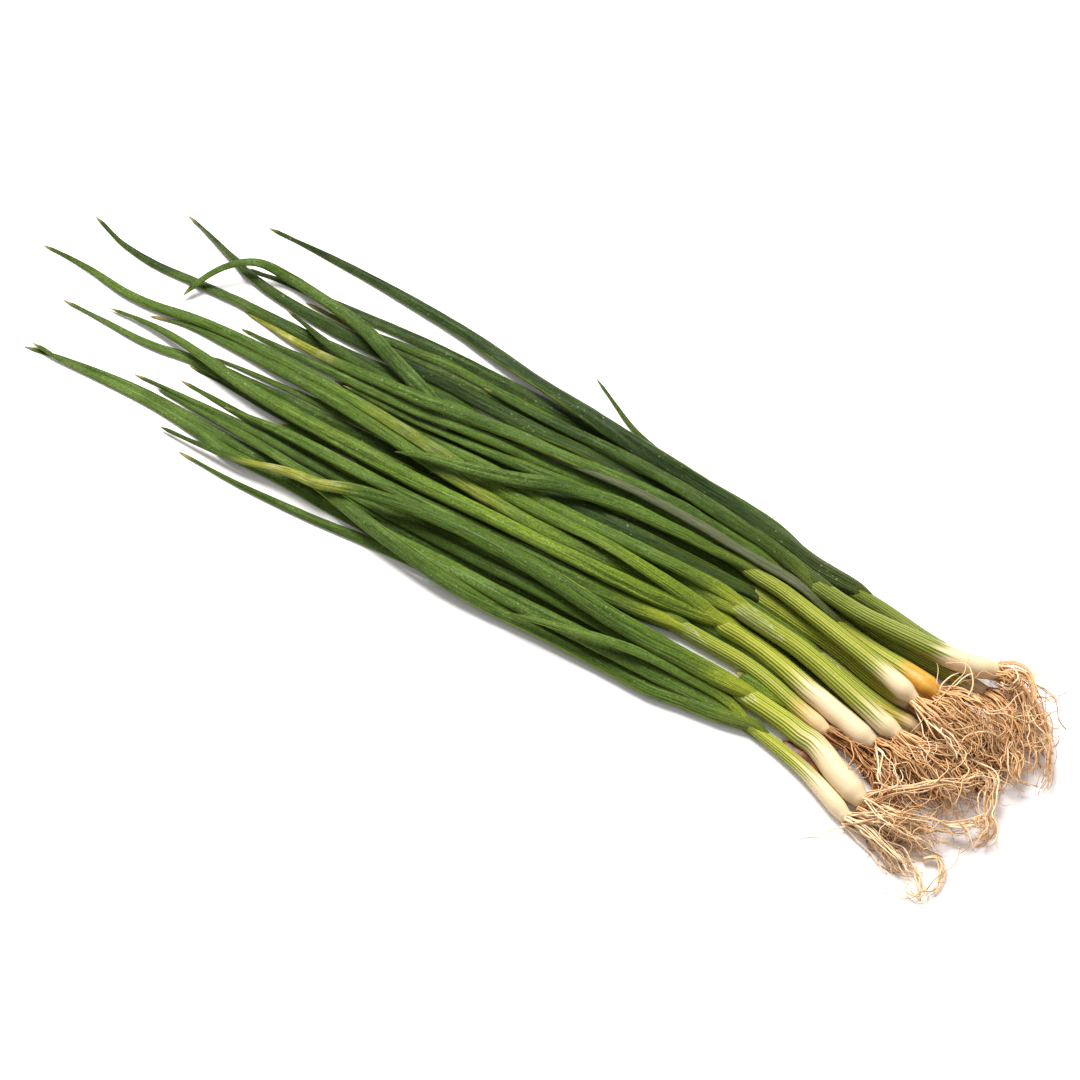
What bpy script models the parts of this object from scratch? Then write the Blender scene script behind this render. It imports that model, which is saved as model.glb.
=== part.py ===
"""A bunch of spring onions lying loose on a flat surface.

Every onion is one solid: a pale shank that swells to a small bulb, with its tubular leaves growing out of
the top. Its roots are a second solid: the basal plate under the bulb with the fibres fused to it. A dried
scale lies among the bulbs. X runs along the bunch with the roots at +X, Z is up, the surface is z = 0.

The routes below are drawn by hand on the surface, in millimetres, as they appear from VIEWPOINT. Each shank,
leaf and root is then a row of circles, one in each slice across the bunch. lay_down() lets the circles sink
onto the surface and pushes apart those that meet, while each strand stays smooth and on its drawn route.
"""

import math
from collections import namedtuple
from types import SimpleNamespace

import bmesh
import bpy
import numpy as np

# Driving dimensions, in millimetres
MM = 0.001
BUNCH_CENTRE = (-18.7, 10.1)
VIEWPOINT = np.array([318.0, -508.8, 1039.2])
SLICE = 6.0
FIRST_SLICE = -264.0
LAST_SLICE = 234.0
LAYER_RISE = 6.0
CLEARANCE = 1.0
LAY_STEPS = 420
LEAF_GROWS_FROM = 14.0
LEAF_STAGGER = 2.0
LEAF_SIDES = 6
SHANK_SIDES = 8
ROOT_SIDES = 3
PLATE_GAP = 0.3
PLATE_THICKNESS = 2.4
ROOT_GIRTH = 0.8
ROOT_TIP = 0.4
ROOTS_EACH = 8
ROOT_WANDER = 2.0
ROOT_DROOP = 0.5
THINNEST = 0.35
STRAIGHT_ENOUGH = 0.2

# Where each strand runs. A leaf's layer is how far up the pile it starts, its girth is its radius, and a
# higher blunt keeps it wide nearer the tip. Fans give the two edges of the spread of an onion's roots.
Leaf = namedtuple("Leaf", "layer girth blunt route bend", defaults=((),))
Fan = namedtuple("Fan", "heights far near")
Onion = namedtuple("Onion", "layer foot belly neck shank leaves roots")

ONIONS = {
    "01": Onion(
        0, 2.6, 3.4, 2.5,
        [(164, -42), (150, -36.3), (140, -32.8), (130, -30.4), (113, -27.3)],
        {
            "long": Leaf(3.5, 3.0, 3.5, [
                (100, -28.5), (80, -29.2), (40, -30.2), (0, -32.6), (-20, -32.8), (-40, -31.2), (-60, -29.7),
                (-80, -27.2), (-100, -24.8), (-125, -22.8), (-150, -22.4), (-172, -22.4)]),
            "short": Leaf(4.5, 1.9, 5, [
                (100, -22.8), (80, -22.8), (50, -24.8), (30, -28.3), (16, -32.2), (8, -34.3)]),
            "outer": Leaf(1, 2.3, 3, [
                (90, -27), (60, -28.3), (30, -30.6), (0, -33.2), (-20, -34.3), (-40, -35.6), (-60, -37.3),
                (-80, -39.8), (-100, -41.5), (-120, -42.7), (-147, -42.6)]),
            "creased": Leaf(1.5, 2.4, 4.5, [
                (90, -26), (60, -27), (20, -29.5), (-20, -30.8), (-60, -31), (-80, -30.6), (-100, -30.3),
                (-120, -31.2), (-130, -31.2), (-140, -29.6), (-150, -28), (-160, -26.8), (-170, -26.3),
                (-180, -26.7), (-200, -29), (-215, -31), (-229, -31.4)]),
        },
        Fan((0.5, 4), [(176, -39), (188, -40), (199, -42)], [(176, -47), (188, -50), (202, -58)]),
    ),
    "02": Onion(
        1, 3.4, 4.8, 3.9,
        [(165, -32), (160, -30), (150, -25.8), (140, -20.4), (130, -17.8), (120, -17), (104, -16.2)],
        {
            "crossing": Leaf(8, 3.5, 2, [
                (90, -15.9), (60, -15.5), (40, -14.3), (20, -12.3), (0, -10.5), (-20, -9.8), (-40, -11.5),
                (-60, -15.6), (-75, -19.2), (-90, -24.4), (-100, -25.9), (-110, -28.5), (-120, -32),
                (-140, -35.3), (-160, -37)]),
            "long": Leaf(4, 2.6, 4, [
                (80, -15.5), (40, -14.5), (20, -14.2), (0, -14.6), (-20, -15.9), (-40, -17), (-60, -17.6),
                (-100, -17.5), (-120, -18.1), (-140, -19), (-160, -20.2), (-184, -21.8)]),
            "middle": Leaf(3, 2.1, 4, [
                (80, -18), (40, -19.4), (0, -19.9), (-20, -20.6), (-60, -21.6), (-90, -21.6), (-116, -21)]),
            "low": Leaf(1, 1.9, 4.5, [
                (80, -17.5), (40, -20.5), (0, -24), (-40, -25.6), (-80, -26), (-120, -27.5), (-150, -28.6),
                (-180, -29.8), (-200, -31), (-220, -33), (-231, -35)]),
            "short": Leaf(3, 2.0, 6, [(90, -18.5), (60, -20.6), (40, -22.7), (20, -25.3), (3, -26.8)]),
        },
        Fan((4, 9), [(178, -27), (190, -27), (205, -28)], [(176, -37), (186, -38), (198, -37)]),
    ),
    "03": Onion(
        2, 3.4, 4.6, 3.9,
        [(156, -8.2), (150, -8), (140, -6.6), (130, -4.9), (120, -1.4), (110, 1.9), (100, 4.7), (85, 7.8)],
        {
            "long": Leaf(6, 3.0, 4, [
                (70, 6), (60, 4.6), (40, 2.9), (20, 1.3), (0, 0), (-20, -0.9), (-60, -3), (-100, -3.5),
                (-120, -3.4), (-140, -2.5), (-160, -0.3), (-170, 0.9), (-185, 1.9), (-200, 1.2),
                (-212, -0.5)]),
            "yellow_tip": Leaf(4, 2.5, 5, [
                (70, 9), (40, 7.4), (20, 6.1), (0, 4.5), (-30, 5.4), (-60, 7.2), (-80, 8.9), (-100, 10.4),
                (-120, 11.4), (-140, 11.7), (-160, 11.6), (-180, 10), (-190, 7.4), (-196, 5.4)]),
            "longest": Leaf(5, 2.5, 6, [
                (70, 8.9), (40, 9.6), (20, 11), (0, 11.2), (-20, 11), (-40, 11), (-60, 12.4), (-80, 14.1),
                (-100, 15.4), (-120, 16.1), (-140, 15.8), (-160, 15), (-180, 13.2), (-200, 10), (-210, 9.5),
                (-230, 11.2), (-240, 11.5), (-255, 11)]),
            "short": Leaf(4.5, 2.0, 7, [(75, 10.8), (60, 11.9), (40, 12.7), (24, 13.3)]),
            "low": Leaf(1.5, 1.8, 4, [
                (60, 3), (20, -1), (-20, -4), (-60, -5.6), (-100, -6.2), (-130, -5.5), (-150, -5.1),
                (-167, -5.9)]),
        },
        Fan((5, 12), [(168, -5), (182, -8), (198, -13)], [(166, -12), (178, -18), (190, -25)]),
    ),
    "04": Onion(
        2, 3.0, 4.1, 3.7,
        [(163, -3), (158, -2), (150, 0.8), (140, 4.8), (130, 8), (120, 11), (110, 13.2), (100, 14.4),
         (88, 15.8)],
        {
            "middle": Leaf(4, 2.4, 6, [
                (75, 18.2), (60, 18.6), (40, 18), (20, 17.5), (0, 17), (-20, 16.8), (-40, 16.7), (-60, 16.2),
                (-80, 16.6), (-94, 17.2)]),
            "long": Leaf(3, 2.2, 4, [
                (75, 14.6), (60, 15), (40, 15.1), (0, 14), (-40, 12.5), (-80, 9.5), (-110, 7.4), (-120, 6.6),
                (-140, 4.9), (-150, 3.8), (-163, 1.8)]),
            "low": Leaf(2, 2.2, 4, [
                (75, 13.5), (40, 9.5), (0, 5.2), (-40, 2.6), (-60, 3), (-80, 3.1), (-100, 2.8), (-120, 2.2),
                (-140, 1.4), (-157, 0.6)]),
        },
        Fan((8, 14), [(177, 2), (190, 0), (206, -6)], [(174, -8), (188, -14), (205, -26)]),
    ),
    "05": Onion(
        0, 2.5, 3.3, 3.0,
        [(170, 7.2), (160, 6.7), (150, 6.8), (140, 8.6), (130, 10.8), (115, 12.5)],
        {
            "arched": Leaf(
                [(-20, 0.5), (-60, 2.5)], 3.4, 3,
                [(100, 13.5), (80, 15), (40, 17.8), (0, 21.5), (-40, 28), (-74, 35.1), (-85, 38.3),
                 (-100, 42.5), (-110, 45.9), (-120, 48.3), (-130, 49.6), (-140, 50.7), (-150, 51.6),
                 (-160, 52.4), (-168, 52.3)],
                [(-174, 51.2, 8), (-179, 47.9, 8), (-182.5, 43.8, 7.5), (-185.5, 38.7, 6.5),
                 (-187.7, 32.6, 5), (-189.2, 26.4, 3.5), (-189.8, 21, 2)]),
            "low": Leaf(1, 2.3, 5, [
                (100, 11), (60, 6.5), (0, 1), (-60, -2.8), (-120, -3.6), (-150, -3), (-160, -2.7),
                (-170, -2.9), (-180, -4.9), (-190, -6.2), (-210, -6.7), (-231, -7.2)]),
        },
        Fan((4, 9), [(182, 10), (196, 8), (209, 3)], [(182, 2), (195, -2), (208, -12)]),
    ),
    "06": Onion(
        3, 2.4, 3.9, 3.2,
        [(161, 16.4), (150, 19.4), (140, 22), (130, 24.2), (120, 26.4), (110, 28.8), (100, 31.4), (90, 34),
         (80, 35.8)],
        {
            "crossing": Leaf(9, 2.7, 7, [
                (60, 34.9), (40, 34.4), (20, 32.6), (10, 30.5), (0, 28.2), (-10, 24.9), (-20, 20.4),
                (-30, 16.7), (-40, 13.6), (-50, 11), (-60, 8.6), (-69, 5.1)]),
            "long": Leaf(5, 2.4, 5, [
                (60, 37.8), (40, 37.2), (20, 35.8), (0, 33.8), (-20, 31.8), (-40, 30), (-60, 28),
                (-80, 25.3), (-100, 23.6), (-120, 22.3), (-140, 21), (-160, 20.3)]),
        },
        Fan((10, 16), [(174, 19), (188, 17), (204, 8)], [(172, 11), (184, 8), (198, 1)]),
    ),
    "07": Onion(
        1, 3.2, 4.8, 3.1,
        [(168, 23.4), (160, 24.6), (150, 26.2), (140, 27.3), (130, 29), (118, 31.2)],
        {
            "withered": Leaf(3.6, 1.8, 3, [
                (105, 36.6), (95, 39), (80, 40), (60, 40.8), (40, 41.1), (20, 40.8), (0, 39.5), (-20, 37.7),
                (-34, 36.6)]),
            "yellow_tip": Leaf(4, 2.6, 6, [
                (100, 35.5), (80, 38), (60, 39), (40, 39), (20, 38.3), (0, 37), (-30, 34.8), (-60, 32),
                (-80, 30), (-100, 28.4), (-120, 26.9), (-140, 27), (-154, 28), (-163, 28.6)]),
            "long": Leaf(1, 2.2, 6, [
                (100, 33.5), (60, 35), (0, 34), (-60, 31.8), (-100, 30.7), (-140, 30.5), (-170, 30.5),
                (-190, 29.5), (-210, 28), (-220, 28.5), (-230, 30), (-239, 33), (-245, 34.7)]),
        },
        Fan((9, 16), [(182, 29), (196, 26), (210, 14)], [(180, 20), (193, 16), (207, 4)]),
    ),
    "08": Onion(
        0, 2.4, 3.0, 2.9,
        [(184, 34), (170, 33.2), (150, 32.4), (140, 33), (130, 34.2), (120, 35.8), (107, 38.2)],
        {
            "middle": Leaf(2, 2.3, 5, [
                (80, 40), (40, 39.5), (0, 37.5), (-40, 34.8), (-80, 32.4), (-100, 32.2), (-120, 33.6),
                (-131, 34.9), (-140, 36.7), (-148, 38)]),
            "low": Leaf(1, 2.0, 4, [
                (90, 41.8), (60, 44.2), (40, 45.4), (0, 46.2), (-40, 46.4), (-60, 46.3), (-80, 45.9),
                (-100, 44.8), (-110, 43.5)]),
        },
        Fan((5.5, 10), [(195, 36), (206, 29), (214, 17)], [(194, 30), (204, 21), (211, 5)]),
    ),
    "09": Onion(
        2, 3.0, 4.5, 3.3,
        [(183, 44.8), (175, 42.6), (165, 40.6), (150, 39.5), (140, 38.8), (130, 38.3), (120, 38.5),
         (108, 39.6)],
        {
            "long": Leaf(1.5, 2.8, 5, [
                (90, 41.4), (60, 42.2), (20, 42.9), (0, 42.8), (-30, 42.2), (-60, 42), (-90, 41.4),
                (-110, 41), (-130, 41), (-150, 41.7), (-165, 43.4), (-178, 46.5), (-189, 49.7), (-200, 53),
                (-212, 56.2)]),
            "middle": Leaf(2.5, 2.5, 5, [
                (95, 42.8), (80, 45), (60, 47.6), (40, 49.4), (20, 50.1), (0, 50), (-20, 49.7), (-40, 49.3),
                (-57, 48.8)]),
        },
        Fan((8, 15), [(190, 49), (200, 45), (213, 36)], [(193, 42), (207, 31), (220, 9)]),
    ),
    "10": Onion(
        1, 2.5, 3.3, 3.2,
        [(161, 11.8), (150, 12.7), (140, 13.9), (130, 15.8), (120, 18.2), (110, 20.2), (100, 22.2),
         (87, 24.3)],
        {
            "short": Leaf(3.5, 1.7, 6, [(75, 25.9), (60, 26.7), (45, 27.4), (33, 27.9)]),
            "low": Leaf(1, 2.2, 4, [
                (75, 23.2), (60, 22.6), (40, 22.4), (0, 21.6), (-40, 21), (-80, 19.6), (-112, 19)]),
            "middle": Leaf(3, 2.2, 5, [
                (75, 28), (60, 29), (40, 29.3), (20, 29.1), (0, 28.1), (-20, 26.7), (-40, 25.4), (-60, 24),
                (-80, 22.2), (-107, 20.3)]),
        },
        Fan((0.5, 3), [(174, 14), (190, 12), (209, 6)], [(174, 8), (188, 3), (203, -6)]),
    ),
    "11": Onion(
        0, 2.5, 3.4, 3.2,
        [(140, -12.4), (130, -11), (120, -9), (110, -6.7), (100, -5.1), (80, -4.5), (66, -4.3)],
        {
            "short": Leaf(4, 3.0, 4, [
                (50, -4.4), (20, -5.3), (0, -5.3), (-20, -5.2), (-40, -6.6), (-60, -7.2), (-84, -6.4)]),
            "middle": Leaf(5, 2.7, 6, [
                (50, -5.5), (20, -7.5), (0, -9), (-40, -10.8), (-60, -11.6), (-80, -12), (-100, -12),
                (-120, -12.8), (-130, -13.8), (-142, -15.1)]),
            "long": Leaf(2, 2.0, 5, [
                (50, -6), (20, -9), (-20, -12.5), (-60, -14.6), (-100, -15.1), (-120, -15.1), (-140, -14.7),
                (-150, -14.4), (-166, -14.1)]),
            "thin": Leaf(1.2, 1.6, 4, [
                (50, -4), (0, -4), (-40, -5.3), (-70, -6.4), (-90, -7.2), (-100, -7.8), (-110, -8.8)]),
        },
        Fan((0.5, 3), [(154, -12), (168, -15), (185, -20)], [(154, -17), (168, -26), (182, -33)]),
    ),
    "12": Onion(
        0, 2.8, 3.6, 3.1,
        [(172, 40), (160, 40.5), (150, 41.6), (140, 43.2), (130, 44.6), (118, 45.6)],
        {
            "broad": Leaf(3, 3.7, 1.8, [
                (100, 46.6), (80, 49.7), (60, 53.2), (40, 55.6), (20, 57.2), (0, 59), (-20, 61), (-40, 63),
                (-60, 65.4), (-80, 67.7), (-100, 69), (-120, 69.8), (-150, 69.9), (-179, 69)]),
            "yellow_tip": Leaf(2, 2.3, 4, [
                (100, 46), (80, 48.5), (60, 50.6), (40, 52.6), (20, 53.7), (0, 54.1), (-20, 53.9),
                (-40, 53.1), (-60, 52.1), (-80, 51.3), (-90, 49.6), (-100, 48.6), (-115, 46.4),
                (-130, 45.7), (-144, 45.4)]),
            "long": Leaf(1, 2.4, 4, [
                (100, 45.5), (60, 49), (30, 50.8), (0, 51.5), (-30, 52.5), (-60, 53.8), (-80, 54.4),
                (-100, 54), (-120, 52.6), (-140, 50.8), (-160, 49), (-177, 45.6)]),
            "spike": Leaf(1, 1.6, 4, [
                (90, 47.5), (60, 51.5), (40, 54.3), (20, 58.5), (5, 63.6), (-10.8, 72), (-21, 77.4)]),
        },
        Fan((0.5, 4), [(187, 44), (201, 40), (213, 30)], [(187, 41.5), (201, 36), (213, 24)]),
    ),
}

DRIED_SCALE = [(147, -31.5, 0.6), (143, -30.4, 1.2), (137, -28.6, 1.6), (131, -27.4, 1.3), (127, -26.6, 0.6)]

LEAF_GREEN = (0.13, 0.27, 0.075, 1.0)
ROOT_STRAW = (0.55, 0.35, 0.17, 1.0)
SCALE_BROWN = (0.16, 0.05, 0.02, 1.0)


def raised(x, y, z):
    """Where a point drawn on the surface is when it is really z above it."""
    lift = z / VIEWPOINT[2]
    return x + (VIEWPOINT[0] - x) * lift, y + (VIEWPOINT[1] - y) * lift


def smoothstep(t):
    t = np.clip(t, 0, 1)
    return t * t * (3 - 2 * t)


def across(points, xs):
    """The y at each x on a smooth curve through the points, which runs on straight past its ends."""
    px, py = np.array(sorted(points), float).T
    slope = np.gradient(py, px)
    inside = np.clip(xs, px[0], px[-1])
    cell = np.clip(np.searchsorted(px, inside) - 1, 0, len(px) - 2)
    width = px[cell + 1] - px[cell]
    t = (inside - px[cell]) / width
    y = (
        py[cell] * (1 + 2 * t) * (1 - t) ** 2
        + slope[cell] * width * t * (1 - t) ** 2
        + py[cell + 1] * t * t * (3 - 2 * t)
        + slope[cell + 1] * width * t * t * (t - 1)
    )
    past = xs - inside
    return y + past * np.where(past < 0, slope[0], slope[-1])


def shank_radius(onion, x, foot_x):
    """From the foot it swells to the belly within 7 mm, then narrows to the neck."""
    back = np.clip(foot_x - x, 0, None)
    share = back / (foot_x - onion.shank[-1][0])
    bulb = onion.foot + (onion.belly - onion.foot) * smoothstep(back / 7)
    neck = bulb + (onion.neck - onion.belly) * smoothstep(share * 1.1)
    return neck * (1 - 0.35 * smoothstep((share - 1) * 12))


def leaf_radius(leaf, x, root_x, tip_x):
    """Narrow where it leaves the shank, full within 50 mm, then tapering towards the tip."""
    along = np.clip((root_x - x) / (root_x - tip_x), 0, 1)
    taper = (1 - np.exp(-leaf.blunt * (1 - along))) / (1 - math.exp(-leaf.blunt))
    waist = 0.8 + 0.2 * smoothstep((root_x - x) / 50)
    return np.maximum(leaf.girth * taper * waist, THINNEST)


def root_radius(x, root_x, tip_x):
    along = np.clip((x - root_x) / (tip_x - root_x), 0, 1)
    return ROOT_GIRTH + (ROOT_TIP - ROOT_GIRTH) * along ** 2


def shank_strand(name, onion):
    rest = onion.belly + onion.layer * LAYER_RISE * 0.8
    foot_x, _ = raised(*onion.shank[0], rest)
    top_x = onion.shank[-1][0]
    return SimpleNamespace(
        onion=name, kind="shank", sides=SHANK_SIDES, route=onion.shank, low=top_x - 6, high=foot_x,
        pin_x=top_x, offset=(0, 0), bend=(),
        height=lambda x: np.full_like(x, onion.layer * LAYER_RISE),
        radius=lambda x: shank_radius(onion, x, foot_x),
    )


def leaf_strand(name, onion, leaf, number):
    top_x = onion.shank[-1][0]
    root_x = top_x + LEAF_GROWS_FROM + LEAF_STAGGER * number
    shared = [point for point in onion.shank if top_x <= point[0] <= root_x + 25]
    turn = math.tau * number / len(onion.leaves) + 0.6
    out = 0.35 * onion.neck
    layers = leaf.layer
    if not isinstance(layers, list):
        layers = [(top_x - 60, leaf.layer), (top_x, onion.layer)]
    layers = sorted(layers)
    layer_x = [x for x, _ in layers]
    rises = [layer * LAYER_RISE for _, layer in layers]
    tip_x = leaf.route[-1][0]
    full_tip = leaf.bend[-1][0] - 25 if leaf.bend else tip_x
    return SimpleNamespace(
        onion=name, kind="leaf", sides=LEAF_SIDES, route=shared + leaf.route, low=tip_x, high=root_x,
        pin_x=top_x, offset=(out * math.cos(turn), out * math.sin(turn)), bend=leaf.bend,
        height=lambda x: np.interp(x, layer_x, rises),
        radius=lambda x: leaf_radius(leaf, x, root_x, full_tip),
    )


def root_strand(name, onion, number, foot_x, rng):
    """One fibre of the fan, between its two drawn edges, with a wander that grows away from the plate."""
    share = (number + 0.5) / ROOTS_EACH
    far, near = np.array(onion.roots.far, float), np.array(onion.roots.near, float)
    reach = 0.75 + 0.25 * rng.random()
    middle = far + (near - far) * share
    start = np.array(onion.shank[0], float)
    drawn = start + (middle - start) * reach
    drawn[:, 1] += ROOT_WANDER * rng.uniform(-1, 1, len(drawn))
    turn = math.tau * (number * 0.382)
    out = 0.55 * onion.foot
    tip_x = drawn[-1][0]
    lowest, highest = onion.roots.heights
    crest = lowest + (highest - lowest) * (number * 0.618 % 1)
    heights = [onion.layer * LAYER_RISE, crest, crest * ROOT_DROOP]
    return SimpleNamespace(
        onion=name, kind="root", sides=ROOT_SIDES, route=[tuple(start)] + [tuple(p) for p in drawn],
        low=foot_x + PLATE_GAP + 0.3 * PLATE_THICKNESS, high=tip_x,
        pin_x=foot_x + PLATE_GAP + PLATE_THICKNESS + SLICE,
        offset=(out * math.cos(turn), out * math.sin(turn)), bend=(),
        height=lambda x: np.interp(x, [foot_x, 0.5 * (foot_x + tip_x), tip_x], heights),
        radius=lambda x: root_radius(x, foot_x, tip_x),
    )


def all_strands():
    rng = np.random.default_rng(7)
    strands = []
    for name, onion in ONIONS.items():
        shank = shank_strand(name, onion)
        strands.append(shank)
        for number, leaf in enumerate(onion.leaves.values()):
            strands.append(leaf_strand(name, onion, leaf, number))
        for number in range(ROOTS_EACH):
            strands.append(root_strand(name, onion, number, shank.high, rng))
    return strands


def smoothed(rows, weight):
    """Each row drawn towards the average of its neighbours along the strand."""
    out = rows.copy()
    out[:, 1:-1] += weight * (0.5 * (rows[:, :-2] + rows[:, 2:]) - rows[:, 1:-1])
    return out


def on_route(strands, heights, xs):
    """The y in each slice that keeps a strand on its drawn route at its present height."""
    lift = heights / VIEWPOINT[2]
    drawn_x = (xs[None, :] - VIEWPOINT[0] * lift) / (1 - lift)
    rows = [np.interp(drawn_x[row], strand.fine_x, strand.fine_y) for row, strand in enumerate(strands)]
    return np.stack(rows) * (1 - lift) + VIEWPOINT[1] * lift


def meeting_pairs(strands, xs, radii, ys, present):
    """The pairs of circles that could meet, and how far apart their centres must stay."""
    first, second = np.triu_indices(len(strands), 1)
    onion = np.array([int(strand.onion) for strand in strands])
    kind = np.array([strand.kind for strand in strands])
    pin_x = np.array([strand.pin_x for strand in strands])
    same = (onion[first] == onion[second])[:, None]
    both_leaves = ((kind[first] == "leaf") & (kind[second] == "leaf"))[:, None]
    parting = smoothstep((pin_x[first][:, None] - 4 - xs[None]) / 40)
    apart = np.where(same, np.where(both_leaves, parting, 0.0), 1.0)
    near = np.abs(ys[first] - ys[second]) < 18
    near &= present[first] & present[second] & (apart > 0.02)
    pair, column = np.nonzero(near)
    a, b = first[pair], second[pair]
    reach = (radii[a, column] + radii[b, column] + CLEARANCE) * apart[pair, column]
    return a * len(xs) + column, b * len(xs) + column, reach


def lay_down(strands):
    """Sinks every strand onto the surface and the strands below it. Returns slices, y, z and radii."""
    xs = np.arange(FIRST_SLICE, LAST_SLICE + 1, SLICE)
    for strand in strands:
        strand.fine_x = np.arange(-300, 260, 1.0)
        strand.fine_y = across(strand.route, strand.fine_x)
    radii = np.stack([strand.radius(xs) for strand in strands])
    low = np.array([strand.low for strand in strands])[:, None]
    high = np.array([strand.high for strand in strands])[:, None]
    present = (xs[None] > low - SLICE) & (xs[None] < high + SLICE)
    wanted_z = radii + np.stack([strand.height(xs) for strand in strands])
    z = wanted_z.copy()
    y = on_route(strands, z, xs)
    drawn_y = on_route(strands, np.zeros_like(z), xs)
    upper, lower, reach = meeting_pairs(strands, xs, radii, drawn_y, present)
    above = z.ravel()[upper] > z.ravel()[lower]
    is_root = np.array([strand.kind == "root" for strand in strands])[:, None]
    own_shank = np.array([
        max(k for k in range(row + 1) if strands[k].kind == "shank") for row in range(len(strands))])
    pin_x = np.array([strand.pin_x for strand in strands])[:, None]
    pinned = np.where(is_root, xs[None] < pin_x, xs[None] > pin_x - 1)
    pinned[own_shank] = False
    offset = np.array([strand.offset for strand in strands])
    floor = 0.87 * radii - 0.05
    for step in range(LAY_STEPS):
        left = 1 - step / LAY_STEPS
        z = z - np.where(is_root, 0.12 * (z - wanted_z), 0.35 * left + 0.02)
        want = on_route(strands, z, xs)
        y = want + smoothed(smoothed((y - want) * 0.95, 0.7), 0.7)
        z = smoothed(smoothed(z, 0.7), 0.7)
        for _ in range(3):
            dy = y.ravel()[upper] - y.ravel()[lower]
            dz = z.ravel()[upper] - z.ravel()[lower]
            rise = np.where(above, dz, -dz)
            swapped = (rise < 0.15 * np.abs(dy)) & (np.abs(dy) < 0.7 * reach)
            dz = np.where(swapped, np.where(above, 0.4, -0.4) * reach, dz)
            distance = np.hypot(dy, dz) + 1e-9
            push = np.clip(reach - distance, 0, None) / distance * 0.5
            touching = (push > 0).astype(float)
            count = np.bincount(upper, touching, y.size) + np.bincount(lower, touching, y.size)
            share = 1 / np.sqrt(np.maximum(count, 1))
            y_push = np.bincount(upper, push * dy, y.size) - np.bincount(lower, push * dy, y.size)
            z_push = np.bincount(upper, push * dz, y.size) - np.bincount(lower, push * dz, y.size)
            y = y + (y_push * share).reshape(y.shape)
            z = np.maximum(z + (z_push * share).reshape(y.shape), floor)
            y = np.where(pinned, y[own_shank] + offset[:, :1], y)
            z = np.where(pinned, z[own_shank] + offset[:, 1:], z)
    return xs, y, z, radii


def straight_runs(rows, tolerance):
    """The rows that a polyline needs to stay within tolerance of all of them."""
    kept = {0, len(rows) - 1}
    spans = [(0, len(rows) - 1)]
    while spans:
        first, last = spans.pop()
        if last - first < 2:
            continue
        inner = np.arange(first + 1, last)
        share = ((rows[inner, 0] - rows[first, 0]) / (rows[last, 0] - rows[first, 0]))[:, None]
        chord = rows[first] + (rows[last] - rows[first]) * share
        off = np.abs(rows[inner] - chord)[:, 1:].max(axis=1)
        worst = int(np.argmax(off))
        if off[worst] < tolerance:
            continue
        kept.add(int(inner[worst]))
        spans += [(first, int(inner[worst])), (int(inner[worst]), last)]
    return rows[sorted(kept)]


def stations(strand, xs, y, z):
    """The centre line of a settled strand, from low x to high x, as rows of x, y, z and radius."""
    inner = xs[(xs > strand.low + 1.5) & (xs < strand.high - 1.5)]
    along = np.concatenate([[strand.low], inner, [strand.high]])
    rows = np.stack([along, np.interp(along, xs, y), np.interp(along, xs, z), strand.radius(along)], axis=1)
    if strand.kind == "shank":
        bulb = strand.high - np.array([5.0, 2.5, 1.0])
        extra = [bulb, np.interp(bulb, xs, y), np.interp(bulb, xs, z), strand.radius(bulb)]
        rows = np.concatenate([rows[:-1], np.stack(extra, axis=1), rows[-1:]])
        rows = rows[np.argsort(rows[:, 0])]
    tolerance = STRAIGHT_ENOUGH * (2.0 if strand.kind == "root" else 1.0)
    rows = straight_runs(rows, tolerance)
    if strand.bend:
        placed = [(*raised(px, py, pz), pz) for px, py, pz in strand.bend]
        thickness = strand.radius(np.array([point[0] for point in strand.bend], float))
        bend = np.concatenate([np.array(placed), thickness[:, None]], axis=1)
        rows = np.concatenate([bend[::-1], rows])
    return rows


def tube(name, rows, sides):
    """A closed tube along the rows, flat side down, and no lower than the surface."""
    centre, radius = rows[:, :3], rows[:, 3]
    ahead = np.gradient(centre, axis=0)
    ahead /= np.linalg.norm(ahead, axis=1)[:, None]
    side = np.cross(np.array([0.0, 0.0, 1.0]), ahead)
    side /= np.linalg.norm(side, axis=1)[:, None]
    up = np.cross(ahead, side)
    turn = -math.pi / 2 + math.pi / sides + np.arange(sides) * math.tau / sides
    ring = radius[:, None, None] * (
        np.cos(turn)[None, :, None] * side[:, None, :] + np.sin(turn)[None, :, None] * up[:, None, :])
    corners = centre[:, None, :] + ring
    corners[..., 2] = np.maximum(corners[..., 2], 0)
    corners -= np.array([*BUNCH_CENTRE, 0.0])
    mesh = bpy.data.meshes.new(name)
    bm = bmesh.new()
    rings = [[bm.verts.new(corner * MM) for corner in row] for row in corners]
    for one, two in zip(rings, rings[1:]):
        for k in range(sides):
            bm.faces.new((one[k], two[k], two[(k + 1) % sides], one[(k + 1) % sides]))
    bm.faces.new(rings[0])
    bm.faces.new(reversed(rings[-1]))
    bmesh.ops.recalc_face_normals(bm, faces=bm.faces)
    bm.to_mesh(mesh)
    bm.free()
    obj = bpy.data.objects.new(name, mesh)
    bpy.context.scene.collection.objects.link(obj)
    return obj


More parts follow.
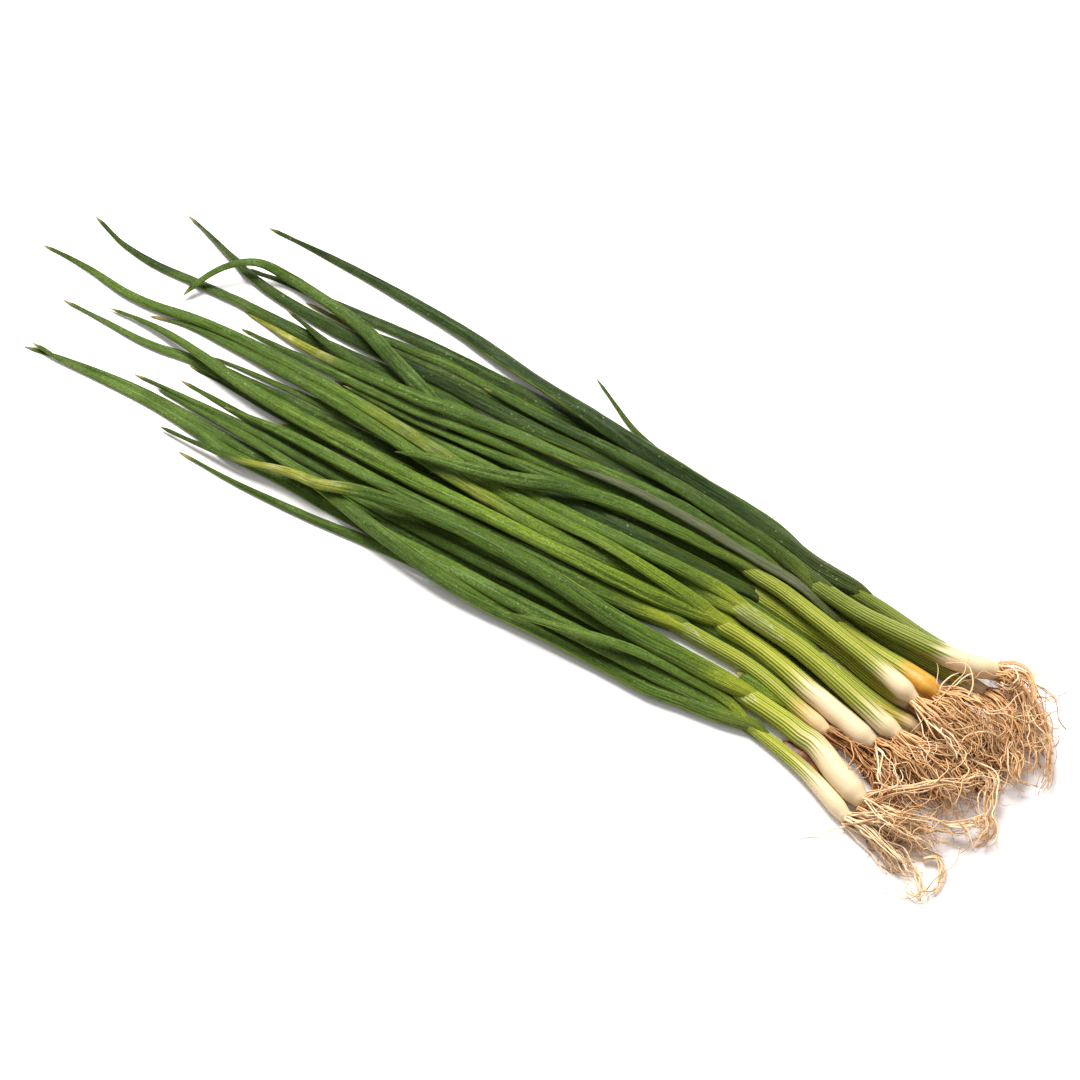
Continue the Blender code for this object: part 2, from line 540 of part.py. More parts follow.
def fused(name, pieces, material, solver):
    """The pieces joined into one solid by a Boolean union, which is applied."""
    base, others = pieces[0], pieces[1:]
    base.name = name
    if others:
        helpers = bpy.data.collections.new(name + " pieces")
        bpy.context.scene.collection.children.link(helpers)
        for piece in others:
            helpers.objects.link(piece)
        union = base.modifiers.new("union", "BOOLEAN")
        union.operation = "UNION"
        union.operand_type = "COLLECTION"
        union.collection = helpers
        union.solver = solver
        graph = bpy.context.evaluated_depsgraph_get()
        joined = bpy.data.meshes.new_from_object(base.evaluated_get(graph))
        base.modifiers.clear()
        base.data = joined
        for piece in others:
            bpy.data.objects.remove(piece)
        bpy.data.collections.remove(helpers)
    base.data.materials.clear()
    base.data.materials.append(material)
    base.data.shade_smooth()
    base.data.set_sharp_from_angle(angle=math.radians(50))
    return base


def principled(name, colour, roughness):
    material = bpy.data.materials.new(name)
    material.use_nodes = True
    shader = material.node_tree.nodes["Principled BSDF"]
    shader.inputs["Base Color"].default_value = colour
    shader.inputs["Roughness"].default_value = roughness
    shader.inputs["Metallic"].default_value = 0.0
    return material


def basal_plate(name, shank, xs, y, z, foot):
    """The short disc under the bulb, in line with the foot of the shank."""
    ends = shank.high + PLATE_GAP + np.array([0.0, 0.6 * PLATE_THICKNESS, PLATE_THICKNESS])
    girth = np.array([0.9, 0.85, 0.55]) * foot
    rows = np.stack([ends, np.interp(ends, xs, y), np.interp(ends, xs, z), girth], axis=1)
    return tube(name, rows, SHANK_SIDES)


def build_bunch():
    onion_skin = principled("leaf", LEAF_GREEN, 0.5)
    root_fibre = principled("root", ROOT_STRAW, 0.8)
    strands = all_strands()
    xs, y, z, _ = lay_down(strands)
    for name, onion in ONIONS.items():
        own = [row for row, strand in enumerate(strands) if strand.onion == name]
        shoots = [row for row in own if strands[row].kind != "root"]
        fibres = [row for row in own if strands[row].kind == "root"]
        pieces = []
        for row in shoots:
            rows = stations(strands[row], xs, y[row], z[row])
            pieces.append(tube(f"shoot {row}", rows, strands[row].sides))
        fused(f"onion_{name}", pieces, onion_skin, "EXACT")
        shank = shoots[0]
        pieces = [basal_plate(f"plate {name}", strands[shank], xs, y[shank], z[shank], onion.foot)]
        for row in fibres:
            rows = stations(strands[row], xs, y[row], z[row])
            pieces.append(tube(f"fibre {row}", rows, strands[row].sides))
        fused(f"roots_{name}", pieces, root_fibre, "MANIFOLD")


def build_dried_scale():
    """A curled brown scale, thin and boat-shaped, lying on the surface between two bulbs."""
    rows = np.array([(x, y, 0.8 * width, width) for x, y, width in sorted(DRIED_SCALE)])
    scale = tube("dried_scale", rows, LEAF_SIDES)
    scale.data.materials.append(principled("scale", SCALE_BROWN, 0.3))


def main():
    for obj in list(bpy.data.objects):
        bpy.data.objects.remove(obj)
    build_bunch()
    build_dried_scale()


main()
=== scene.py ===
"""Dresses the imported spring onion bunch: waxy ribbed leaves, pale striped shanks, papery sheaths and matted
roots, each fitted to the solid that it stands for. Lengths are in millimetres until a mesh is written.
"""

import math
from collections import namedtuple
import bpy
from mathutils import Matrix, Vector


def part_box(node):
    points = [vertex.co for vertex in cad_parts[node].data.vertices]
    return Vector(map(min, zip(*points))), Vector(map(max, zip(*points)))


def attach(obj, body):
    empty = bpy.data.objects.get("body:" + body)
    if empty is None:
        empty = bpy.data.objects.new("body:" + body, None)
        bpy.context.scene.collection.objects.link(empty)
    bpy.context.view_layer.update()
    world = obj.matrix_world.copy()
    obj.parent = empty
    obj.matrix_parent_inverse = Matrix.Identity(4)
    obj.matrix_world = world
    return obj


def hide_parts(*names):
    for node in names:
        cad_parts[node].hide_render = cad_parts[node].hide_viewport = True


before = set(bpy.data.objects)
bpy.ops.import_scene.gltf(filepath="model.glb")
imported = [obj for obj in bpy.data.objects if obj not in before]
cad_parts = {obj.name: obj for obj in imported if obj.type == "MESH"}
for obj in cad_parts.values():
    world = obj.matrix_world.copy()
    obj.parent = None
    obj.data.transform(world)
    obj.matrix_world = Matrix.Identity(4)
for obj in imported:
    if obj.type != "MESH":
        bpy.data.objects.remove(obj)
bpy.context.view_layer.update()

from types import SimpleNamespace

import bpy
import numpy as np
from bpy.props import FloatProperty, FloatVectorProperty, IntProperty, PointerProperty
from mathutils import Vector

bl_info = {
    "name": "Spring onion bunch",
    "version": (1, 0, 0),
    "blender": (4, 5, 0),
    "location": "3D View > Sidebar > Onions",
    "description": "A loose bunch of spring onions with waxy leaves, papery sheaths and matted roots",
    "category": "Add Mesh",
}

# What the strands and their settling are worked out from, as for the solids: millimetres, shares, counts
MM = 0.001
BUNCH_CENTRE = (-18.7, 10.1)
VIEWPOINT = np.array([318.0, -508.8, 1039.2])
SLICE = 6.0
FIRST_SLICE = -264.0
LAST_SLICE = 234.0
LAYER_RISE = 6.0
CLEARANCE = 1.0
LAY_STEPS = 420
SINK_AT_FIRST = 0.35
SINK_AT_LAST = 0.02
ROOT_SPRING = 0.12
ROUTE_SLACK = 0.95
STIFFNESS = 0.7
PUSHES_A_STEP = 3
NEIGHBOURHOOD = 18
PARTING = 40
MOUTH_INSIDE = 4
LEAF_GROWS_FROM = 14.0
LEAF_STAGGER = 2.0
PLATE_GAP = 0.3
PLATE_THICKNESS = 2.4
ROOT_GIRTH = 0.8
ROOT_TIP = 0.4
ROOTS_EACH = 8
ROOT_WANDER = 2.0
ROOT_DROOP = 0.5
THINNEST = 0.35
GOLDEN = 0.618
GOLDEN_TURN = 0.382

# The fine surfaces: millimetres, shares, and numbers of points along and round a tube. MAP_UNIT is how far
# a map runs along a strand for each millimetre, SHARP_BEND is one over a radius, CREASE_WIDTH is an angle,
# and the mat's right, back and front are where side roots must end.
LOWEST_POINT = 0.02
MAP_UNIT = 0.01
SHANK_RING_GAP = 1.1
SHANK_RIBS = 27
FOOT_TAPER = 6
DOME_START = 0.6
DOME_HEIGHT = 1.3
RIBS_GROW = 20
MOUTH_TAPER = 5
MOUTH_SLANT = 8
BAND_WAVER = 5
SKIN_WAVER = 6
SKIN_LENGTH = 15
FILM_OVERHANG = 6
LEAF_RIBS = 9
LEAF_FULLNESS = 0.68
LEAF_OPENS = 30
TIP_ROUND = 7
MOUTH_HUMP = 18
SHARP_BEND = 0.008
MOST_SQUASHED = 0.6
CREASE_WIDTH = 0.25
GREYS_OVER = 30
STRIPES_END = 60
WAY_GAP = 0.5
MAT_TUFTS = 9
PLATE_REACH = 6
ROOTS_PARALLEL = (4, 14)
CALM = 9
FIBRE_STATIONS = 30
FIBRE_SIDES = 4
SIDE_ROOT_STATIONS = 14
MAT_RIGHT, MAT_BACK, MAT_FRONT = 220, 52, -64
PLATE_GIRTHS = np.array([0.66, 0.68, 0.62, 0.5, 0.36, 0.2])
PLATE_FACETS = 20
SCALE_RINGS = 30
SCALE_FACETS = 24

# Where each strand runs. An onion's layer is how far up the pile it starts, and its foot, belly and neck
# are radii of its shank. A leaf's layer may change along it, its girth is its radius, a higher blunt keeps
# it wide nearer the tip, and its bend is the way of an end that turns back. A fan has the least and greatest
# height of an onion's roots and the two edges of their spread.
Leaf = namedtuple("Leaf", "layer girth blunt route bend", defaults=((),))
Fan = namedtuple("Fan", "heights far near")
Onion = namedtuple("Onion", "layer foot belly neck shank leaves roots")

ONIONS = {
    "01": Onion(
        0, 2.6, 3.4, 2.5,
        [(164, -42), (150, -36.3), (140, -32.8), (130, -30.4), (113, -27.3)],
        {
            "long": Leaf(3.5, 3.0, 3.5, [
                (100, -28.5), (80, -29.2), (40, -30.2), (0, -32.6), (-20, -32.8), (-40, -31.2), (-60, -29.7),
                (-80, -27.2), (-100, -24.8), (-125, -22.8), (-150, -22.4), (-172, -22.4)]),
            "short": Leaf(4.5, 1.9, 5, [
                (100, -22.8), (80, -22.8), (50, -24.8), (30, -28.3), (16, -32.2), (8, -34.3)]),
            "outer": Leaf(1, 2.3, 3, [
                (90, -27), (60, -28.3), (30, -30.6), (0, -33.2), (-20, -34.3), (-40, -35.6), (-60, -37.3),
                (-80, -39.8), (-100, -41.5), (-120, -42.7), (-147, -42.6)]),
            "creased": Leaf(1.5, 2.4, 4.5, [
                (90, -26), (60, -27), (20, -29.5), (-20, -30.8), (-60, -31), (-80, -30.6), (-100, -30.3),
                (-120, -31.2), (-130, -31.2), (-140, -29.6), (-150, -28), (-160, -26.8), (-170, -26.3),
                (-180, -26.7), (-200, -29), (-215, -31), (-229, -31.4)]),
        },
        Fan((0.5, 4), [(176, -39), (188, -40), (199, -42)], [(176, -47), (188, -50), (202, -58)]),
    ),
    "02": Onion(
        1, 3.4, 4.8, 3.9,
        [(165, -32), (160, -30), (150, -25.8), (140, -20.4), (130, -17.8), (120, -17), (104, -16.2)],
        {
            "crossing": Leaf(8, 3.5, 2, [
                (90, -15.9), (60, -15.5), (40, -14.3), (20, -12.3), (0, -10.5), (-20, -9.8), (-40, -11.5),
                (-60, -15.6), (-75, -19.2), (-90, -24.4), (-100, -25.9), (-110, -28.5), (-120, -32),
                (-140, -35.3), (-160, -37)]),
            "long": Leaf(4, 2.6, 4, [
                (80, -15.5), (40, -14.5), (20, -14.2), (0, -14.6), (-20, -15.9), (-40, -17), (-60, -17.6),
                (-100, -17.5), (-120, -18.1), (-140, -19), (-160, -20.2), (-184, -21.8)]),
            "middle": Leaf(3, 2.1, 4, [
                (80, -18), (40, -19.4), (0, -19.9), (-20, -20.6), (-60, -21.6), (-90, -21.6), (-116, -21)]),
            "low": Leaf(1, 1.9, 4.5, [
                (80, -17.5), (40, -20.5), (0, -24), (-40, -25.6), (-80, -26), (-120, -27.5), (-150, -28.6),
                (-180, -29.8), (-200, -31), (-220, -33), (-231, -35)]),
            "short": Leaf(3, 2.0, 6, [(90, -18.5), (60, -20.6), (40, -22.7), (20, -25.3), (3, -26.8)]),
        },
        Fan((4, 9), [(178, -27), (190, -27), (205, -28)], [(176, -37), (186, -38), (198, -37)]),
    ),
    "03": Onion(
        2, 3.4, 4.6, 3.9,
        [(156, -8.2), (150, -8), (140, -6.6), (130, -4.9), (120, -1.4), (110, 1.9), (100, 4.7), (85, 7.8)],
        {
            "long": Leaf(6, 3.0, 4, [
                (70, 6), (60, 4.6), (40, 2.9), (20, 1.3), (0, 0), (-20, -0.9), (-60, -3), (-100, -3.5),
                (-120, -3.4), (-140, -2.5), (-160, -0.3), (-170, 0.9), (-185, 1.9), (-200, 1.2),
                (-212, -0.5)]),
            "yellow_tip": Leaf(4, 2.5, 5, [
                (70, 9), (40, 7.4), (20, 6.1), (0, 4.5), (-30, 5.4), (-60, 7.2), (-80, 8.9), (-100, 10.4),
                (-120, 11.4), (-140, 11.7), (-160, 11.6), (-180, 10), (-190, 7.4), (-196, 5.4)]),
            "longest": Leaf(5, 2.5, 6, [
                (70, 8.9), (40, 9.6), (20, 11), (0, 11.2), (-20, 11), (-40, 11), (-60, 12.4), (-80, 14.1),
                (-100, 15.4), (-120, 16.1), (-140, 15.8), (-160, 15), (-180, 13.2), (-200, 10), (-210, 9.5),
                (-230, 11.2), (-240, 11.5), (-255, 11)]),
            "short": Leaf(4.5, 2.0, 7, [(75, 10.8), (60, 11.9), (40, 12.7), (24, 13.3)]),
            "low": Leaf(1.5, 1.8, 4, [
                (60, 3), (20, -1), (-20, -4), (-60, -5.6), (-100, -6.2), (-130, -5.5), (-150, -5.1),
                (-167, -5.9)]),
        },
        Fan((5, 12), [(168, -5), (182, -8), (198, -13)], [(166, -12), (178, -18), (190, -25)]),
    ),
    "04": Onion(
        2, 3.0, 4.1, 3.7,
        [(163, -3), (158, -2), (150, 0.8), (140, 4.8), (130, 8), (120, 11), (110, 13.2), (100, 14.4),
         (88, 15.8)],
        {
            "middle": Leaf(4, 2.4, 6, [
                (75, 18.2), (60, 18.6), (40, 18), (20, 17.5), (0, 17), (-20, 16.8), (-40, 16.7), (-60, 16.2),
                (-80, 16.6), (-94, 17.2)]),
            "long": Leaf(3, 2.2, 4, [
                (75, 14.6), (60, 15), (40, 15.1), (0, 14), (-40, 12.5), (-80, 9.5), (-110, 7.4), (-120, 6.6),
                (-140, 4.9), (-150, 3.8), (-163, 1.8)]),
            "low": Leaf(2, 2.2, 4, [
                (75, 13.5), (40, 9.5), (0, 5.2), (-40, 2.6), (-60, 3), (-80, 3.1), (-100, 2.8), (-120, 2.2),
                (-140, 1.4), (-157, 0.6)]),
        },
        Fan((8, 14), [(177, 2), (190, 0), (206, -6)], [(174, -8), (188, -14), (205, -26)]),
    ),
    "05": Onion(
        0, 2.5, 3.3, 3.0,
        [(170, 7.2), (160, 6.7), (150, 6.8), (140, 8.6), (130, 10.8), (115, 12.5)],
        {
            "arched": Leaf(
                [(-20, 0.5), (-60, 2.5)], 3.4, 3,
                [(100, 13.5), (80, 15), (40, 17.8), (0, 21.5), (-40, 28), (-74, 35.1), (-85, 38.3),
                 (-100, 42.5), (-110, 45.9), (-120, 48.3), (-130, 49.6), (-140, 50.7), (-150, 51.6),
                 (-160, 52.4), (-168, 52.3)],
                [(-174, 51.2, 8), (-179, 47.9, 8), (-182.5, 43.8, 7.5), (-185.5, 38.7, 6.5),
                 (-187.7, 32.6, 5), (-189.2, 26.4, 3.5), (-189.8, 21, 2)]),
            "low": Leaf(1, 2.3, 5, [
                (100, 11), (60, 6.5), (0, 1), (-60, -2.8), (-120, -3.6), (-150, -3), (-160, -2.7),
                (-170, -2.9), (-180, -4.9), (-190, -6.2), (-210, -6.7), (-231, -7.2)]),
        },
        Fan((4, 9), [(182, 10), (196, 8), (209, 3)], [(182, 2), (195, -2), (208, -12)]),
    ),
    "06": Onion(
        3, 2.4, 3.9, 3.2,
        [(161, 16.4), (150, 19.4), (140, 22), (130, 24.2), (120, 26.4), (110, 28.8), (100, 31.4), (90, 34),
         (80, 35.8)],
        {
            "crossing": Leaf(9, 2.7, 7, [
                (60, 34.9), (40, 34.4), (20, 32.6), (10, 30.5), (0, 28.2), (-10, 24.9), (-20, 20.4),
                (-30, 16.7), (-40, 13.6), (-50, 11), (-60, 8.6), (-69, 5.1)]),
            "long": Leaf(5, 2.4, 5, [
                (60, 37.8), (40, 37.2), (20, 35.8), (0, 33.8), (-20, 31.8), (-40, 30), (-60, 28),
                (-80, 25.3), (-100, 23.6), (-120, 22.3), (-140, 21), (-160, 20.3)]),
        },
        Fan((10, 16), [(174, 19), (188, 17), (204, 8)], [(172, 11), (184, 8), (198, 1)]),
    ),
    "07": Onion(
        1, 3.2, 4.8, 3.1,
        [(168, 23.4), (160, 24.6), (150, 26.2), (140, 27.3), (130, 29), (118, 31.2)],
        {
            "withered": Leaf(3.6, 1.8, 3, [
                (105, 36.6), (95, 39), (80, 40), (60, 40.8), (40, 41.1), (20, 40.8), (0, 39.5), (-20, 37.7),
                (-34, 36.6)]),
            "yellow_tip": Leaf(4, 2.6, 6, [
                (100, 35.5), (80, 38), (60, 39), (40, 39), (20, 38.3), (0, 37), (-30, 34.8), (-60, 32),
                (-80, 30), (-100, 28.4), (-120, 26.9), (-140, 27), (-154, 28), (-163, 28.6)]),
            "long": Leaf(1, 2.2, 6, [
                (100, 33.5), (60, 35), (0, 34), (-60, 31.8), (-100, 30.7), (-140, 30.5), (-170, 30.5),
                (-190, 29.5), (-210, 28), (-220, 28.5), (-230, 30), (-239, 33), (-245, 34.7)]),
        },
        Fan((9, 16), [(182, 29), (196, 26), (210, 14)], [(180, 20), (193, 16), (207, 4)]),
    ),
    "08": Onion(
        0, 2.4, 3.0, 2.9,
        [(184, 34), (170, 33.2), (150, 32.4), (140, 33), (130, 34.2), (120, 35.8), (107, 38.2)],
        {
            "middle": Leaf(2, 2.3, 5, [
                (80, 40), (40, 39.5), (0, 37.5), (-40, 34.8), (-80, 32.4), (-100, 32.2), (-120, 33.6),
                (-131, 34.9), (-140, 36.7), (-148, 38)]),
            "low": Leaf(1, 2.0, 4, [
                (90, 41.8), (60, 44.2), (40, 45.4), (0, 46.2), (-40, 46.4), (-60, 46.3), (-80, 45.9),
                (-100, 44.8), (-110, 43.5)]),
        },
        Fan((5.5, 10), [(195, 36), (206, 29), (214, 17)], [(194, 30), (204, 21), (211, 5)]),
    ),
    "09": Onion(
        2, 3.0, 4.5, 3.3,
        [(183, 44.8), (175, 42.6), (165, 40.6), (150, 39.5), (140, 38.8), (130, 38.3), (120, 38.5),
         (108, 39.6)],
        {
            "long": Leaf(1.5, 2.8, 5, [
                (90, 41.4), (60, 42.2), (20, 42.9), (0, 42.8), (-30, 42.2), (-60, 42), (-90, 41.4),
                (-110, 41), (-130, 41), (-150, 41.7), (-165, 43.4), (-178, 46.5), (-189, 49.7), (-200, 53),
                (-212, 56.2)]),
            "middle": Leaf(2.5, 2.5, 5, [
                (95, 42.8), (80, 45), (60, 47.6), (40, 49.4), (20, 50.1), (0, 50), (-20, 49.7), (-40, 49.3),
                (-57, 48.8)]),
        },
        Fan((8, 15), [(190, 49), (200, 45), (213, 36)], [(193, 42), (207, 31), (220, 9)]),
    ),
    "10": Onion(
        1, 2.5, 3.3, 3.2,
        [(161, 11.8), (150, 12.7), (140, 13.9), (130, 15.8), (120, 18.2), (110, 20.2), (100, 22.2),
         (87, 24.3)],
        {
            "short": Leaf(3.5, 1.7, 6, [(75, 25.9), (60, 26.7), (45, 27.4), (33, 27.9)]),
            "low": Leaf(1, 2.2, 4, [
                (75, 23.2), (60, 22.6), (40, 22.4), (0, 21.6), (-40, 21), (-80, 19.6), (-112, 19)]),
            "middle": Leaf(3, 2.2, 5, [
                (75, 28), (60, 29), (40, 29.3), (20, 29.1), (0, 28.1), (-20, 26.7), (-40, 25.4), (-60, 24),
                (-80, 22.2), (-107, 20.3)]),
        },
        Fan((0.5, 3), [(174, 14), (190, 12), (209, 6)], [(174, 8), (188, 3), (203, -6)]),
    ),
    "11": Onion(
        0, 2.5, 3.4, 3.2,
        [(140, -12.4), (130, -11), (120, -9), (110, -6.7), (100, -5.1), (80, -4.5), (66, -4.3)],
        {
            "short": Leaf(4, 3.0, 4, [
                (50, -4.4), (20, -5.3), (0, -5.3), (-20, -5.2), (-40, -6.6), (-60, -7.2), (-84, -6.4)]),
            "middle": Leaf(5, 2.7, 6, [
                (50, -5.5), (20, -7.5), (0, -9), (-40, -10.8), (-60, -11.6), (-80, -12), (-100, -12),
                (-120, -12.8), (-130, -13.8), (-142, -15.1)]),
            "long": Leaf(2, 2.0, 5, [
                (50, -6), (20, -9), (-20, -12.5), (-60, -14.6), (-100, -15.1), (-120, -15.1), (-140, -14.7),
                (-150, -14.4), (-166, -14.1)]),
            "thin": Leaf(1.2, 1.6, 4, [
                (50, -4), (0, -4), (-40, -5.3), (-70, -6.4), (-90, -7.2), (-100, -7.8), (-110, -8.8)]),
        },
        Fan((0.5, 3), [(154, -12), (168, -15), (185, -20)], [(154, -17), (168, -26), (182, -33)]),
    ),
    "12": Onion(
        0, 2.8, 3.6, 3.1,
        [(172, 40), (160, 40.5), (150, 41.6), (140, 43.2), (130, 44.6), (118, 45.6)],
        {
            "broad": Leaf(3, 3.7, 1.8, [
                (100, 46.6), (80, 49.7), (60, 53.2), (40, 55.6), (20, 57.2), (0, 59), (-20, 61), (-40, 63),
                (-60, 65.4), (-80, 67.7), (-100, 69), (-120, 69.8), (-150, 69.9), (-179, 69)]),
            "yellow_tip": Leaf(2, 2.3, 4, [
                (100, 46), (80, 48.5), (60, 50.6), (40, 52.6), (20, 53.7), (0, 54.1), (-20, 53.9),
                (-40, 53.1), (-60, 52.1), (-80, 51.3), (-90, 49.6), (-100, 48.6), (-115, 46.4),
                (-130, 45.7), (-144, 45.4)]),
            "long": Leaf(1, 2.4, 4, [
                (100, 45.5), (60, 49), (30, 50.8), (0, 51.5), (-30, 52.5), (-60, 53.8), (-80, 54.4),
                (-100, 54), (-120, 52.6), (-140, 50.8), (-160, 49), (-177, 45.6)]),
            "spike": Leaf(1, 1.6, 4, [
                (90, 47.5), (60, 51.5), (40, 54.3), (20, 58.5), (5, 63.6), (-10.8, 72), (-21, 77.4)]),
        },
        Fan((0.5, 4), [(187, 44), (201, 40), (213, 30)], [(187, 41.5), (201, 36), (213, 24)]),
    ),
}
# How each leaf looks: tone runs from -1, dark, to 1, bright yellow-green; bloom is its grey wax; tip is how
# many millimetres of the end have dried; press is how far the pile has flattened it; grey is how withered it
# is; yellow is a yellowed stretch, from and to so many millimetres from its end, and how strong; lift is how
# far it lies above its solid, on top of the pile.
Look = namedtuple(
    "Look", "tone bloom tip press grey yellow lift", defaults=(0.0, 0.4, 6.0, 0.15, 0.0, (0, 1, 0.0), 0.0))
LOOKS = {
    "01 long": Look(-0.1, 0.3, 4, 0.2), "01 short": Look(0.25, 0.8, 1),
    "01 outer": Look(-0.1, 0.4, 14, 0.2), "01 creased": Look(-0.2, 0.8, 8, 0.6),
    "02 crossing": Look(0.05, 0.05, 4, yellow=(36, 86, 0.7)), "02 long": Look(0.1, 0.5, 8),
    "02 middle": Look(-0.2, 0.4, 5, 0.4), "02 low": Look(-0.3, 0.5, 8, 0.9), "02 short": Look(0.2, 0.5, 7),
    "03 long": Look(0.65, 0.3, 6), "03 yellow_tip": Look(0.45, 0.35, 14, yellow=(150, 180, 0.4)),
    "03 longest": Look(0.55, 0.35, 6, yellow=(160, 208, 0.25)), "03 short": Look(0.3, 0.3, 5),
    "03 low": Look(-0.6, 0.1, 5, 1.0), "04 middle": Look(0.3, 0.5, 12), "04 long": Look(0.0, 0.15, 5, 0.5),
    "04 low": Look(-0.6, 0.2, 5, 1.0), "05 arched": Look(-0.4, 0.5, 5), "05 low": Look(0.0, 0.3, 8, 0.9),
    "06 crossing": Look(-0.2, 0.5, 1.5), "06 long": Look(0.1, 0.6, 5),
    "07 withered": Look(-0.2, 0.5, 12, 0.3, grey=0.85, lift=6.0),
    "07 yellow_tip": Look(-0.25, 0.4, 3, yellow=(0, 44, 1.0)), "07 long": Look(-0.6, 0.2, 6, 0.8),
    "08 middle": Look(-0.4, 0.2, 6, 0.4), "08 low": Look(-0.5, 0.2, 6, 0.8),
    "09 long": Look(-0.75, 0.12, 9), "09 middle": Look(-0.55, 0.12, 6), "10 short": Look(0.2, 0.4, 8),
    "10 low": Look(-0.7, 0.1, 6, 1.0), "10 middle": Look(-0.1, 0.4, 6), "11 short": Look(-0.1, 0.6, 6),
    "11 middle": Look(0.1, 0.6, 5), "11 long": Look(-0.2, 0.5, 9, 0.7), "11 thin": Look(-0.1, 0.3, 8, 1.0),
    "12 broad": Look(-0.85, 0.12, 6, 0.3), "12 yellow_tip": Look(0.2, 0.1, 2, 0.4, yellow=(0, 30, 0.9)),
    "12 long": Look(-0.8, 0.2, 6, 0.8), "12 spike": Look(-0.3, 0.2, 3),
}

# How each shank looks: white and lime are how many millimetres from the foot stay cream and reach full
# green; skin is an orange dry outer skin, veins the strength of its stripes, film how many millimetres of
# papery skin end at its mouth, and deep how olive its green is.
Shank = namedtuple("Shank", "white lime skin veins film deep")
SHANKS = {
    "01": Shank(11, 38, 0.0, 1.0, 6, 0.0), "02": Shank(17, 46, 0.0, 1.0, 12, 0.1),
    "03": Shank(24, 48, 0.0, 0.9, 0, 0.15), "04": Shank(3, 28, 0.0, 1.0, 24, 0.35),
    "05": Shank(2, 15, 0.25, 1.0, 32, 0.5), "06": Shank(8, 28, 0.0, 1.0, 4, 0.4),
    "07": Shank(2, 24, 1.0, 0.9, 0, 0.3), "08": Shank(3, 18, 0.1, 1.0, 0, 0.7),
    "09": Shank(15, 30, 0.0, 1.0, 0, 0.9), "10": Shank(1, 12, 0.25, 1.0, 7, 0.1),
    "11": Shank(2, 24, 0.3, 1.0, 20, 0.4), "12": Shank(2, 14, 0.0, 0.7, 0, 1.0),
}

# Tufts of roots that stand out of the mat: how many fibres, how far they spread, how pale they are from -1
# to 1, the way they take, as drawn on the surface with a height, and how wild their curls are.
Tuft = namedtuple("Tuft", "count spread pale way wild", defaults=(1.0,))
